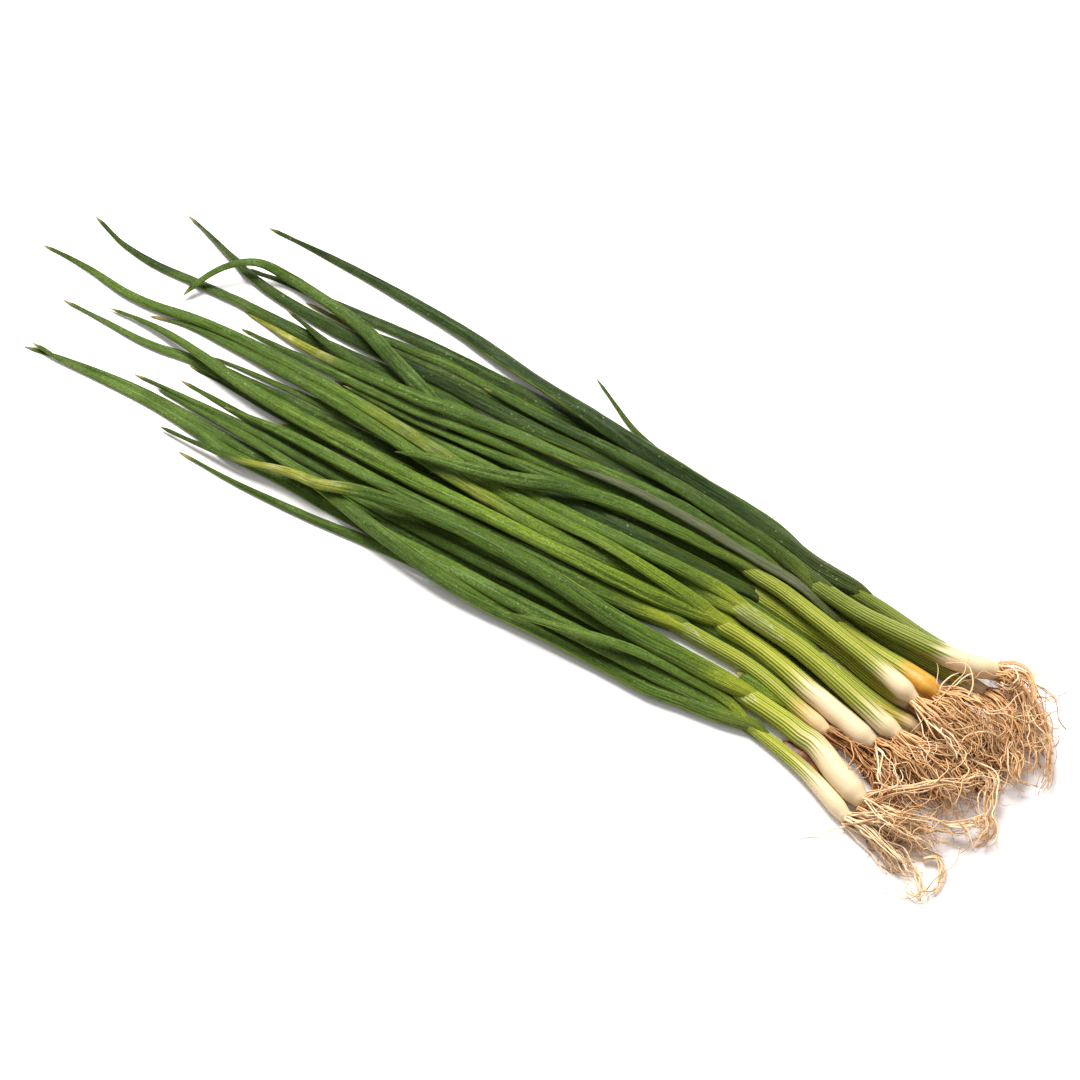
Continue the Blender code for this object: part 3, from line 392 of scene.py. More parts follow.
# The share of the mat's fibres that an onion has, and how pale they are, where they aren't as the others.
DENSITY = {"01": 0.6, "02": 0.6, "08": 0.8, "09": 0.35, "12": 0.4}
# The dark mat of 05 is partly painted shade, for a dark hollow in the mat.
PALENESS = {"01": 0.9, "02": 0.4, "03": -0.6, "05": -0.9, "07": -0.2, "10": -0.6, "11": -0.7}
PALENESS_OF_MOST = -0.3
# The dark first tuft of 03 and second tuft of 04 are partly painted shade, for the same dark hollow in the
# mat.
TUFTS = {
    "01": [
        Tuft(20, 1.8, 0.8, [(164, -40.4, 3), (173, -42.5, 4), (182, -45.5, 4), (190, -47.6, 3),
                            (198, -47, 1)], 0.35),
        Tuft(12, 1.8, 0.7, [(164, -38.5, 4), (173, -37, 6), (182, -35.5, 6), (190, -35, 5),
                            (198, -38, 2)], 0.7),
        Tuft(8, 2.0, 0.5, [(165, -42, 3), (170, -37, 7), (177, -32, 8), (186, -33, 6), (193, -38, 2)], 1.0),
        Tuft(5, 0.9, 1.0, [(196, -41, 2), (200, -38, 3), (204, -41, 3), (205.5, -46, 2),
                           (204, -56, 1)], 0.6),
        Tuft(4, 1.2, 1.0, [(195, -46, 2), (199, -50, 2), (202, -55, 1.5), (197, -55.5, 1),
                           (195, -52, 1)], 0.6),
        Tuft(1, 0.1, 0.9, [(164.8, -44.6, 2), (161, -49, 1.5), (155.7, -54.3, 1), (150.4, -58.6, 1),
                           (147.7, -64, 0.8), (145.8, -69, 0.6)], 0.5),
    ],
    "02": [
        Tuft(10, 1.8, 0.5, [(167, -32, 5), (175, -31.5, 8), (184, -29.5, 9), (194, -27, 7), (206, -26, 3)]),
        Tuft(7, 1.3, 0.3, [(168, -29, 6), (176, -20, 12), (182, -14.5, 14), (188, -9, 15), (194.5, -5, 15),
                           (203, 1.4, 13), (212, 5.7, 8)], 0.7),
        Tuft(6, 1.2, 0.2, [(167, -31, 5), (169, -25, 9), (174, -20, 10), (181, -19, 9), (187, -22, 5)]),
        Tuft(7, 2.0, 0.6, [(196, -24, 5), (203, -19, 7), (209, -14, 6), (212, -20, 4), (207, -27, 2)]),
    ],
    "03": [
        Tuft(12, 1.6, -0.6, [(157, -8.5, 4), (165, -8, 6), (172, -7, 7), (178, -9.5, 5), (184, -14, 2)]),
        Tuft(12, 1.8, -0.4, [(157, -10.5, 3), (162, -15, 6), (170, -20, 7), (178, -24, 6), (187, -26, 2)]),
        Tuft(1, 0.1, 1.0, [(158, -10, 4), (163, -11.5, 12), (165, -18, 14), (167.5, -25, 11),
                           (168, -29, 9)]),
        Tuft(1, 0.1, 0.8, [(158, -9, 5), (166, -12, 13), (172, -17, 14), (175, -24, 10), (180, -27, 6)]),
        Tuft(1, 0.1, 0.9, [(158, -9, 5), (163, -16, 12), (166, -21, 12), (171, -22, 11), (173, -17, 12),
                           (170, -12, 13)]),
    ],
    "04": [
        Tuft(8, 1.6, 0.2, [(165, -2, 9), (171, -1, 12), (176, 1.4, 13), (181, 4.4, 13), (190, 8, 10)]),
        Tuft(8, 1.6, -0.5, [(165, -4.5, 8), (173, -7, 8), (179, -11, 6), (184, -16, 3)]),
    ],
    "05": [
        Tuft(10, 1.8, 0.0, [(172, 5.5, 4), (178, 4.6, 8), (184, 1.4, 9), (192, 0, 8), (204, -4, 4)]),
    ],
    "06": [
        Tuft(14, 1.8, 0.3, [(162, 15.6, 9), (168, 15, 12), (175, 12.4, 14), (181, 10, 14), (187, 5, 12),
                            (190, -2, 10)], 0.8),
        Tuft(4, 1.6, 0.5, [(163, 14, 10), (172, 11, 14), (180, 9, 16), (187, 4, 15), (189, -3, 14),
                           (186, -10, 10)]),
        Tuft(1, 0.1, 0.7, [(163, 13, 10), (169, 8, 14), (172, 3, 15), (178, 1, 15), (181, -5, 14)]),
    ],
    "07": [
        Tuft(16, 2.0, 0.0, [(169, 26, 5), (176, 28, 9), (183, 27, 11), (187.5, 24, 12), (191, 18, 11),
                            (196, 9, 8)], 0.6),
        Tuft(14, 2.0, -0.1, [(169, 22, 5), (175, 23, 9), (182, 21, 12), (187, 16.5, 12), (191, 9, 10),
                            (199, 2, 6)], 0.8),
        Tuft(1, 0.1, 0.8, [(169, 24, 6), (165, 27, 10), (161, 32.5, 9.5)]),
        Tuft(1, 0.1, 0.7, [(168.5, 22, 6), (167, 29, 10), (171, 35.5, 10), (178, 41, 11)]),
        Tuft(1, 0.1, 0.5, [(169, 21, 6), (168, 16, 9), (167, 19, 12), (172, 23, 13), (180, 21, 13)]),
    ],
    "08": [
        Tuft(14, 1.8, 0.1, [(185, 33.4, 3), (190, 33.4, 6), (195, 31, 8), (199, 27, 8), (203, 20, 7),
                            (208, 10, 4)]),
    ],
    "09": [
        Tuft(14, 1.5, 0.3, [(184, 45.4, 8), (188, 49.2, 11), (193, 49.5, 12), (197, 46, 12), (201, 40, 11),
                            (207, 35, 9), (213.5, 27, 7), (218, 19, 6), (220.5, 12, 4), (221, 6, 2)], 0.6),
        Tuft(9, 1.3, 0.4, [(184, 44.6, 8), (188, 46.5, 13), (191, 44.5, 15), (190, 41, 13),
                           (185.5, 41, 10)], 0.5),
        Tuft(8, 1.4, 0.2, [(184, 44, 8), (191, 43.5, 12), (198, 38, 12), (205, 30, 10), (212, 20, 8),
                           (217, 10, 4)], 0.7),
        Tuft(1, 0.1, 0.9, [(184, 43, 9), (178, 40, 11), (173, 34, 11), (169, 28, 10.5)]),
    ],
    "10": [
        Tuft(10, 2.0, -0.4, [(163, 11, 3), (175, 10, 5), (188, 8, 6), (200, 3, 5), (208, -6, 3)]),
        Tuft(12, 2.4, 0.4, [(190, 4, 7), (202, 2, 8), (207, -8, 7), (211, -17, 5), (208, -27, 2)]),
    ],
    "11": [
        Tuft(12, 1.4, -0.8, [(142, -14, 3), (151, -15.7, 4), (160, -19, 5), (167, -22.5, 5),
                             (176, -27, 2)]),
    ],
    "12": [
        Tuft(10, 1.8, 0.1, [(190, 26, 5), (199, 20, 7), (207, 14, 7), (214, 6, 5), (218, 4, 2)]),
    ],
}

# Leaves of the lowest layer that are only seen in the gaps between the others: their radius, look and way.
UNDER = {
    "04": {"olive": (3.0, Look(0.1, 0.1, 4, 0.4), [
        (152, -1, 3), (130, 1.5, 2.6), (112, 5, 2.6), (92, 9.5, 2.6), (60, 10.5, 2.6), (20, 8, 2.4),
        (-20, 7.5, 2)])},
    "03": {"deep": (2.7, Look(-0.5, 0.1, 4, 0.4), [
        (126, -4.5, 3), (106, -0.5, 2.5), (86, 1.8, 2.4), (60, 1.5, 2.4), (20, -2, 2.2), (-10, -3, 2)])},
    "11": {"olive": (2.5, Look(0.2, 0.1, 4, 0.2), [
        (131, -12.3, 2.6), (122, -11.6, 2.5), (112, -10.8, 2.4), (104, -10.2, 2.3), (97, -9.9, 2.2)])},
    "06": {"deep": (2.8, Look(-0.5, 0.1, 4, 0.5), [
        (120, 26, 3), (90, 30, 2.6), (60, 31.5, 2.5), (20, 30, 2.4), (-20, 26.5, 2.2), (-60, 24.5, 2)])},
    "10": {"deep": (2.6, Look(-0.5, 0.1, 4, 0.5), [
        (84, 20, 2.6), (50, 19.5, 2.5), (10, 15, 2.4), (-30, 12, 2.3), (-70, 12, 2.2), (-110, 13.5, 2)])},
    "02": {"deep": (2.4, Look(-0.4, 0.1, 4, 0.5), [
        (110, -19, 2.6), (70, -21.5, 2.5), (20, -17, 2.4), (-30, -14, 2.3), (-80, -12.5, 2.2),
        (-120, -10.5, 2)])},
}


def raised(x, y, z):
    """Where a point drawn on the surface is when it is really z above it."""
    lift = z / VIEWPOINT[2]
    return x + (VIEWPOINT[0] - x) * lift, y + (VIEWPOINT[1] - y) * lift


def smoothstep(t):
    """From 0 to 1 as t does, level at both ends."""
    t = np.clip(t, 0, 1)
    return t * t * (3 - 2 * t)


def cubic(values, slopes, cell, width, t):
    """The cubic between each cell's two values that leaves and meets them at their own slopes."""
    return (
        values[cell] * (1 + 2 * t) * (1 - t) ** 2
        + slopes[cell] * width * t * (1 - t) ** 2
        + values[cell + 1] * t * t * (3 - 2 * t)
        + slopes[cell + 1] * width * t * t * (t - 1)
    )


def across(points, xs):
    """The y at each x on a smooth curve through the points, which runs on straight past its ends."""
    px, py = np.array(sorted(points), float).T
    slope = np.gradient(py, px)
    inside = np.clip(xs, px[0], px[-1])
    cell = np.clip(np.searchsorted(px, inside) - 1, 0, len(px) - 2)
    width = px[cell + 1] - px[cell]
    y = cubic(py, slope, cell, width, (inside - px[cell]) / width)
    past = xs - inside
    return y + past * np.where(past < 0, slope[0], slope[-1])


def shank_radius(onion, x, foot_x):
    """From the foot it swells to the belly within 7 mm, then narrows to the neck."""
    back = np.clip(foot_x - x, 0, None)
    share = back / (foot_x - onion.shank[-1][0])
    bulb = onion.foot + (onion.belly - onion.foot) * smoothstep(back / 7)
    neck = bulb + (onion.neck - onion.belly) * smoothstep(share * 1.1)
    return neck * (1 - 0.35 * smoothstep((share - 1) * 12))


def leaf_radius(leaf, x, root_x, tip_x):
    """Narrow where it leaves the shank, full within 50 mm, then tapering towards the tip."""
    along = np.clip((root_x - x) / (root_x - tip_x), 0, 1)
    taper = (1 - np.exp(-leaf.blunt * (1 - along))) / (1 - math.exp(-leaf.blunt))
    waist = 0.8 + 0.2 * smoothstep((root_x - x) / 50)
    return np.maximum(leaf.girth * taper * waist, THINNEST)


def root_radius(x, root_x, tip_x):
    """Thinner towards the tip, by the square of the way along."""
    along = np.clip((x - root_x) / (tip_x - root_x), 0, 1)
    return ROOT_GIRTH + (ROOT_TIP - ROOT_GIRTH) * along ** 2


def shank_strand(name, onion):
    """A shank along its drawn route, with its foot where the drawn foot is at its height in the pile."""
    rest = onion.belly + onion.layer * LAYER_RISE * 0.8
    foot_x, _ = raised(*onion.shank[0], rest)
    top_x = onion.shank[-1][0]
    return SimpleNamespace(
        onion=name, kind="shank", route=onion.shank, low=top_x - 6, high=foot_x,
        pin_x=top_x, offset=(0, 0), bend=(),
        height=lambda x: np.full_like(x, onion.layer * LAYER_RISE),
        radius=lambda x: shank_radius(onion, x, foot_x),
    )


def leaf_strand(name, onion, leaf, number):
    """A leaf from inside its shank to its tip, each leaf of an onion leaving it on its own side."""
    top_x = onion.shank[-1][0]
    root_x = top_x + LEAF_GROWS_FROM + LEAF_STAGGER * number
    shared = [point for point in onion.shank if top_x <= point[0] <= root_x + 25]
    turn = math.tau * number / len(onion.leaves) + 0.6
    out = 0.35 * onion.neck
    layers = leaf.layer
    if not isinstance(layers, list):
        layers = [(top_x - 60, leaf.layer), (top_x, onion.layer)]
    layers = sorted(layers)
    layer_x = [x for x, _ in layers]
    rises = [layer * LAYER_RISE for _, layer in layers]
    tip_x = leaf.route[-1][0]
    full_tip = leaf.bend[-1][0] - 25 if leaf.bend else tip_x
    return SimpleNamespace(
        onion=name, kind="leaf", route=shared + leaf.route, low=tip_x, high=root_x,
        pin_x=top_x, offset=(out * math.cos(turn), out * math.sin(turn)), bend=leaf.bend,
        height=lambda x: np.interp(x, layer_x, rises),
        radius=lambda x: leaf_radius(leaf, x, root_x, full_tip),
    )


def crest_height(fan, number):
    """How high one root or tuft of a fan rises: golden-ratio steps between the fan's two heights."""
    lowest, highest = fan.heights
    return lowest + (highest - lowest) * (number * GOLDEN % 1)


def root_strand(name, onion, number, foot_x, rng):
    """One fibre of the fan, between its two drawn edges, with a wander that grows away from the plate."""
    share = (number + 0.5) / ROOTS_EACH
    far, near = np.array(onion.roots.far, float), np.array(onion.roots.near, float)
    reach = 0.75 + 0.25 * rng.random()
    middle = far + (near - far) * share
    start = np.array(onion.shank[0], float)
    drawn = start + (middle - start) * reach
    drawn[:, 1] += ROOT_WANDER * rng.uniform(-1, 1, len(drawn))
    turn = math.tau * (number * GOLDEN_TURN)
    out = 0.55 * onion.foot
    tip_x = drawn[-1][0]
    crest = crest_height(onion.roots, number)
    heights = [onion.layer * LAYER_RISE, crest, crest * ROOT_DROOP]
    return SimpleNamespace(
        onion=name, kind="root", route=[tuple(start)] + [tuple(p) for p in drawn],
        low=foot_x + PLATE_GAP + 0.3 * PLATE_THICKNESS, high=tip_x,
        pin_x=foot_x + PLATE_GAP + PLATE_THICKNESS + SLICE,
        offset=(out * math.cos(turn), out * math.sin(turn)), bend=(),
        height=lambda x: np.interp(x, [foot_x, 0.5 * (foot_x + tip_x), tip_x], heights),
        radius=lambda x: root_radius(x, foot_x, tip_x),
    )


def all_strands():
    """Shank, leaves and thick roots of every onion, in the order in which the solids are laid down."""
    rng = np.random.default_rng(7)
    strands = []
    for name, onion in ONIONS.items():
        shank = shank_strand(name, onion)
        strands.append(shank)
        for number, leaf in enumerate(onion.leaves.values()):
            strands.append(leaf_strand(name, onion, leaf, number))
        for number in range(ROOTS_EACH):
            strands.append(root_strand(name, onion, number, shank.high, rng))
    return strands


def smoothed(rows):
    """Each row drawn towards the average of its neighbours along the strand."""
    out = rows.copy()
    out[:, 1:-1] += STIFFNESS * (0.5 * (rows[:, :-2] + rows[:, 2:]) - rows[:, 1:-1])
    return out


def on_route(strands, heights, xs):
    """The y in each slice that keeps a strand on its drawn route at its present height."""
    lift = heights / VIEWPOINT[2]
    drawn_x = (xs[None, :] - VIEWPOINT[0] * lift) / (1 - lift)
    rows = [np.interp(drawn_x[row], strand.fine_x, strand.fine_y) for row, strand in enumerate(strands)]
    return np.stack(rows) * (1 - lift) + VIEWPOINT[1] * lift


def meeting_pairs(strands, xs, radii, ys, present):
    """The pairs of circles that could meet, and how far apart their centres must stay.

    Strands of one onion may share a place, but its leaves part gradually past the mouth of their shank."""
    first, second = np.triu_indices(len(strands), 1)
    onion = np.array([int(strand.onion) for strand in strands])
    kind = np.array([strand.kind for strand in strands])
    pin_x = np.array([strand.pin_x for strand in strands])
    same = (onion[first] == onion[second])[:, None]
    both_leaves = ((kind[first] == "leaf") & (kind[second] == "leaf"))[:, None]
    parting = smoothstep((pin_x[first][:, None] - MOUTH_INSIDE - xs[None]) / PARTING)
    apart = np.where(same, np.where(both_leaves, parting, 0.0), 1.0)
    near = np.abs(ys[first] - ys[second]) < NEIGHBOURHOOD
    near &= present[first] & present[second] & (apart > 0.02)
    pair, column = np.nonzero(near)
    a, b = first[pair], second[pair]
    reach = (radii[a, column] + radii[b, column] + CLEARANCE) * apart[pair, column]
    return a * len(xs) + column, b * len(xs) + column, reach


def lay_down(strands):
    """Sinks every strand onto the surface and the strands below it. Returns slices, y and z.

    At each step a strand sinks, is drawn back to its route and smoothed, and pairs that are too close are
    pushed apart, each by its share. The sinking slows down to almost nothing by the last step."""
    xs = np.arange(FIRST_SLICE, LAST_SLICE + 1, SLICE)
    for strand in strands:
        strand.fine_x = np.arange(-300, 260, 1.0)
        strand.fine_y = across(strand.route, strand.fine_x)
    radii = np.stack([strand.radius(xs) for strand in strands])
    low = np.array([strand.low for strand in strands])[:, None]
    high = np.array([strand.high for strand in strands])[:, None]
    present = (xs[None] > low - SLICE) & (xs[None] < high + SLICE)
    wanted_z = radii + np.stack([strand.height(xs) for strand in strands])
    z = wanted_z.copy()
    y = on_route(strands, z, xs)
    drawn_y = on_route(strands, np.zeros_like(z), xs)
    upper, lower, reach = meeting_pairs(strands, xs, radii, drawn_y, present)
    above = z.ravel()[upper] > z.ravel()[lower]
    is_root = np.array([strand.kind == "root" for strand in strands])[:, None]
    own_shank = np.array([
        max(k for k in range(row + 1) if strands[k].kind == "shank") for row in range(len(strands))])
    pin_x = np.array([strand.pin_x for strand in strands])[:, None]
    pinned = np.where(is_root, xs[None] < pin_x, xs[None] > pin_x - 1)
    pinned[own_shank] = False
    offset = np.array([strand.offset for strand in strands])
    floor = 0.87 * radii - 0.05
    for step in range(LAY_STEPS):
        left = 1 - step / LAY_STEPS
        z = z - np.where(is_root, ROOT_SPRING * (z - wanted_z), SINK_AT_FIRST * left + SINK_AT_LAST)
        want = on_route(strands, z, xs)
        y = want + smoothed(smoothed((y - want) * ROUTE_SLACK))
        z = smoothed(smoothed(z))
        for _ in range(PUSHES_A_STEP):
            dy = y.ravel()[upper] - y.ravel()[lower]
            dz = z.ravel()[upper] - z.ravel()[lower]
            rise = np.where(above, dz, -dz)
            swapped = (rise < 0.15 * np.abs(dy)) & (np.abs(dy) < 0.7 * reach)
            dz = np.where(swapped, np.where(above, 0.4, -0.4) * reach, dz)
            distance = np.hypot(dy, dz) + 1e-9
            push = np.clip(reach - distance, 0, None) / distance * 0.5
            touching = (push > 0).astype(float)
            count = np.bincount(upper, touching, y.size) + np.bincount(lower, touching, y.size)
            share = 1 / np.sqrt(np.maximum(count, 1))
            y_push = np.bincount(upper, push * dy, y.size) - np.bincount(lower, push * dy, y.size)
            z_push = np.bincount(upper, push * dz, y.size) - np.bincount(lower, push * dz, y.size)
            y = y + (y_push * share).reshape(y.shape)
            z = np.maximum(z + (z_push * share).reshape(y.shape), floor)
            y = np.where(pinned, y[own_shank] + offset[:, :1], y)
            z = np.where(pinned, z[own_shank] + offset[:, 1:], z)
    return xs, y, z


def settled_bunch():
    """Every strand, the slices, and its y and z in each slice, as the solids have them."""
    strands = all_strands()
    return (strands, *lay_down(strands))


class ShootSettings(bpy.types.PropertyGroup):
    ring_gap: FloatProperty(
        name="Ring gap", description="Distance between cross-sections along a leaf",
        default=2.2 * MM, unit="LENGTH")
    leaf_facets: IntProperty(name="Leaf facets", description="Points round a leaf", default=32)
    shank_facets: IntProperty(name="Shank facets", description="Points round a shank", default=56)
    swell: FloatProperty(
        name="Swell", description="How far a pressed leaf fills the room beside it", default=0.32,
        subtype="FACTOR")
    cream: FloatVectorProperty(
        name="Cream", description="Bulb end of a shank", default=(0.70, 0.55, 0.345), subtype="COLOR")
    lime: FloatVectorProperty(
        name="Lime", description="Middle of a shank", default=(0.37, 0.375, 0.018), subtype="COLOR")
    olive: FloatVectorProperty(
        name="Olive", description="A shank low in the pile", default=(0.105, 0.13, 0.007), subtype="COLOR")
    stripe: FloatVectorProperty(
        name="Stripe", description="Veins along a shank", default=(0.085, 0.15, 0.006), subtype="COLOR")
    green: FloatVectorProperty(
        name="Green", description="Most of a leaf", default=(0.066, 0.124, 0.0075), subtype="COLOR")
    bright: FloatVectorProperty(
        name="Bright", description="A young yellow-green leaf", default=(0.19, 0.275, 0.012),
        subtype="COLOR")
    dark: FloatVectorProperty(
        name="Dark", description="An old dark leaf", default=(0.012, 0.030, 0.003), subtype="COLOR")
    wax: FloatVectorProperty(
        name="Wax", description="The pale bloom on a leaf", default=(0.215, 0.34, 0.068), subtype="COLOR")
    straw: FloatVectorProperty(
        name="Straw", description="A dried leaf tip", default=(0.68, 0.56, 0.20), subtype="COLOR")
    skin: FloatVectorProperty(
        name="Skin", description="The orange dry skin of one bulb", default=(0.56, 0.27, 0.032),
        subtype="COLOR")


class RootSettings(bpy.types.PropertyGroup):
    fibres: IntProperty(name="Fibres", description="Roots in the mat under each onion", default=36)
    thickness: FloatProperty(
        name="Thickness", description="Diameter of a root at the plate", default=1.0 * MM, unit="LENGTH")
    wave: FloatProperty(
        name="Wave", description="How far a root waves from its way", default=0.75 * MM, unit="LENGTH")
    hairs: IntProperty(name="Hairs", description="Fine side roots on each onion", default=44)
    pale: FloatVectorProperty(
        name="Pale", description="Clean roots", default=(0.93, 0.72, 0.47), subtype="COLOR")
    straw: FloatVectorProperty(
        name="Straw", description="Most of the roots", default=(0.68, 0.40, 0.18), subtype="COLOR")
    # Brown is partly painted shade: the shade mask takes low fibres towards it.
    brown: FloatVectorProperty(
        name="Brown", description="Roots deep in the mat", default=(0.30, 0.115, 0.03), subtype="COLOR")


class StageSettings(bpy.types.PropertyGroup):
    turn: FloatProperty(
        name="Turn", description="Way round the bunch", default=math.radians(32), subtype="ANGLE")
    tilt: FloatProperty(
        name="Tilt", description="Height above the surface", default=math.radians(60), subtype="ANGLE")
    distance: FloatProperty(
        name="Distance", description="From the lens to the bunch", default=1.2, unit="LENGTH")
    lens: FloatProperty(name="Lens", description="Focal length in millimetres", default=100.0)
    key: FloatProperty(name="Key light", description="Power of the main light in watts", default=52.0)
    fill: FloatProperty(name="Fill light", description="Strength of the white surroundings", default=0.50)


def ripple(rng, along, wavelength, terms=4):
    """Smooth noise along a strand: a sum of sines with random phases and near wavelengths, in -1 to 1."""
    waves = wavelength * rng.uniform(0.6, 1.8, terms)
    phases = rng.uniform(0, math.tau, terms)
    return np.sin(along[..., None] * math.tau / waves + phases).sum(-1) / terms


def centre_line(strand, xs, y, z, gap):
    """The settled centre line, finely sampled: rows of x, y, z, radius from the root end to the tip.

    Where a leaf bends back, its last stretch is a curve through the points that are drawn for it."""
    count = max(int((strand.high - strand.low) / gap), 12)
    x = np.linspace(strand.high, strand.low, count)
    fine_y = across(list(zip(xs, y)), x)
    fine_z = across(list(zip(xs, z)), x)
    rows = np.stack([x, fine_y, fine_z, strand.radius(x)], axis=1)
    if strand.bend:
        placed = np.array([(*raised(px, py, pz), pz) for px, py, pz in strand.bend])
        thickness = strand.radius(np.array([point[0] for point in strand.bend], float))
        knots = np.concatenate([rows[[-14, -7]], np.concatenate([placed, thickness[:, None]], axis=1)])
        rows = np.concatenate([rows[:-14], spline(knots, gap)])
    return rows


def spline(knots, gap):
    """A smooth curve through the knots, a cubic between each two, with points about one gap apart."""
    step = np.linalg.norm(np.diff(knots[:, :3], axis=0), axis=1)
    reach = np.concatenate([[0], np.cumsum(step)])
    at = np.linspace(0, reach[-1], max(int(reach[-1] / gap), 8))
    slope = np.gradient(knots, reach, axis=0)
    cell = np.clip(np.searchsorted(reach, at) - 1, 0, len(knots) - 2)
    width = (reach[cell + 1] - reach[cell])[:, None]
    return cubic(knots, slope, cell, width, ((at - reach[cell]) / width[:, 0])[:, None])


def sweep(rows, profile, squash=0.0, pinch=0.0, lean=0.0, flat=0.0, shift=None):
    """A closed tube: on each row a ring of the row's radius times its profile, one column per angle.

    squash flattens the ring and widens it by a third as much, pinch draws its two sides into edges, lean
    turns it about the centre line, flat makes its top and underside into planes by a smaller power of the
    sine, and shift slides each point along the line. No point goes below the surface."""
    centre, radius = rows[:, :3], rows[:, 3]
    ahead = np.gradient(centre, axis=0)
    ahead /= np.linalg.norm(ahead, axis=1)[:, None]
    side = np.cross(np.array([0.0, 0.0, 1.0]), ahead)
    side /= np.linalg.norm(side, axis=1)[:, None]
    up = np.cross(ahead, side)
    facets = profile.shape[1]
    angle = -math.pi / 2 + np.arange(facets) * math.tau / facets
    squash, pinch, lean, flat = (
        np.broadcast_to(value, len(rows))[:, None] for value in (squash, pinch, lean, flat))
    wide = np.cos(angle)[None] * (1 + 0.33 * squash)
    tall = np.sign(np.sin(angle))[None] * np.abs(np.sin(angle))[None] ** (1 - 0.5 * flat)
    tall = tall * (1 - squash) * (1 - pinch * np.cos(angle)[None] ** 2)
    sideways = wide * np.cos(lean) - tall * np.sin(lean)
    above = wide * np.sin(lean) + tall * np.cos(lean)
    scale = radius[:, None] * profile
    points = (
        centre[:, None]
        + (scale * sideways)[..., None] * side[:, None]
        + (scale * above)[..., None] * up[:, None]
    )
    if shift is not None:
        points = points + shift[..., None] * ahead[:, None]
    points[..., 2] = np.maximum(points[..., 2], LOWEST_POINT)
    return points


class Surface:
    """Grids of points gathered into one mesh, with their own map coordinates and the named masks."""

    def __init__(self, *masks):
        self.points = []
        self.faces = []
        self.maps = []
        self.masks = {name: [] for name in masks}
        self.count = 0

    def add_tube(self, points, depth, **masks):
        """A grid of rings closed at both ends. depth is each ring's distance along the strand, and a mask is
        one value for each point, each ring or the whole tube, or 0 where it isn't given."""
        rings, facets = points.shape[:2]
        index = self.count + np.arange(rings * facets).reshape(rings, facets)
        turned = np.roll(index, -1, axis=1)
        quads = np.stack([index[:-1], turned[:-1], turned[1:], index[1:]], axis=-1).reshape(-1, 4)
        ends = self.count + rings * facets + np.array([0, 1])
        first = np.stack([turned[0], index[0], np.full(facets, ends[0])], axis=-1)
        last = np.stack([index[-1], turned[-1], np.full(facets, ends[1])], axis=-1)
        caps = points[[0, -1]].mean(axis=1)
        round_ = np.broadcast_to(np.arange(facets) / facets, (rings, facets))
        along = np.broadcast_to(MAP_UNIT * depth[:, None], (rings, facets))
        place = np.stack([round_, along], axis=-1).reshape(-1, 2)
        ends_place = np.array([[0.5, along[0, 0]], [0.5, along[-1, 0]]])
        self.points += [points.reshape(-1, 3), caps]
        self.faces.append((quads, np.concatenate([first, last])))
        self.maps += [place, ends_place]
        for name, gathered in self.masks.items():
            values = np.broadcast_to(masks.get(name, 0.0), (rings, facets))
            gathered += [values.ravel(), values[[0, -1], 0]]
        self.count += rings * facets + 2

    def write(self, name, material):
        """The mesh object, at the origin, with its place in its points."""
        points = np.concatenate(self.points) - np.array([*BUNCH_CENTRE, 0.0])
        quads = np.concatenate([quads for quads, _ in self.faces])
        fans = np.concatenate([fans for _, fans in self.faces])
        mesh = bpy.data.meshes.new(name)
        mesh.vertices.add(len(points))
        mesh.vertices.foreach_set("co", (points * MM).astype(np.float32).ravel())
        corners = np.concatenate([quads.ravel(), fans.ravel()]).astype(np.int32)
        starts = np.concatenate([np.arange(len(quads)) * 4, len(quads) * 4 + np.arange(len(fans)) * 3])
        mesh.loops.add(len(corners))
        mesh.loops.foreach_set("vertex_index", corners)
        mesh.polygons.add(len(starts))
        mesh.polygons.foreach_set("loop_start", starts.astype(np.int32))
        mesh.update(calc_edges=True)
        layer = mesh.uv_layers.new(name="strand")
        place = np.concatenate(self.maps)[corners]
        layer.data.foreach_set("uv", place.astype(np.float32).ravel())
        for mask, values in self.masks.items():
            attribute = mesh.attributes.new(mask, "FLOAT", "POINT")
            attribute.data.foreach_set("value", np.concatenate(values).astype(np.float32))
        mesh.validate()
        mesh.shade_smooth()
        mesh.materials.append(material)
        piece = bpy.data.objects.new(name, mesh)
        bpy.context.scene.collection.objects.link(piece)
        return piece


SOCKETS = {
    "colour": "Base Color", "roughness": "Roughness", "specular": "Specular IOR Level",
    "coat": "Coat Weight", "coat_roughness": "Coat Roughness",
    "subsurface": "Subsurface Weight", "subsurface_scale": "Subsurface Scale",
}


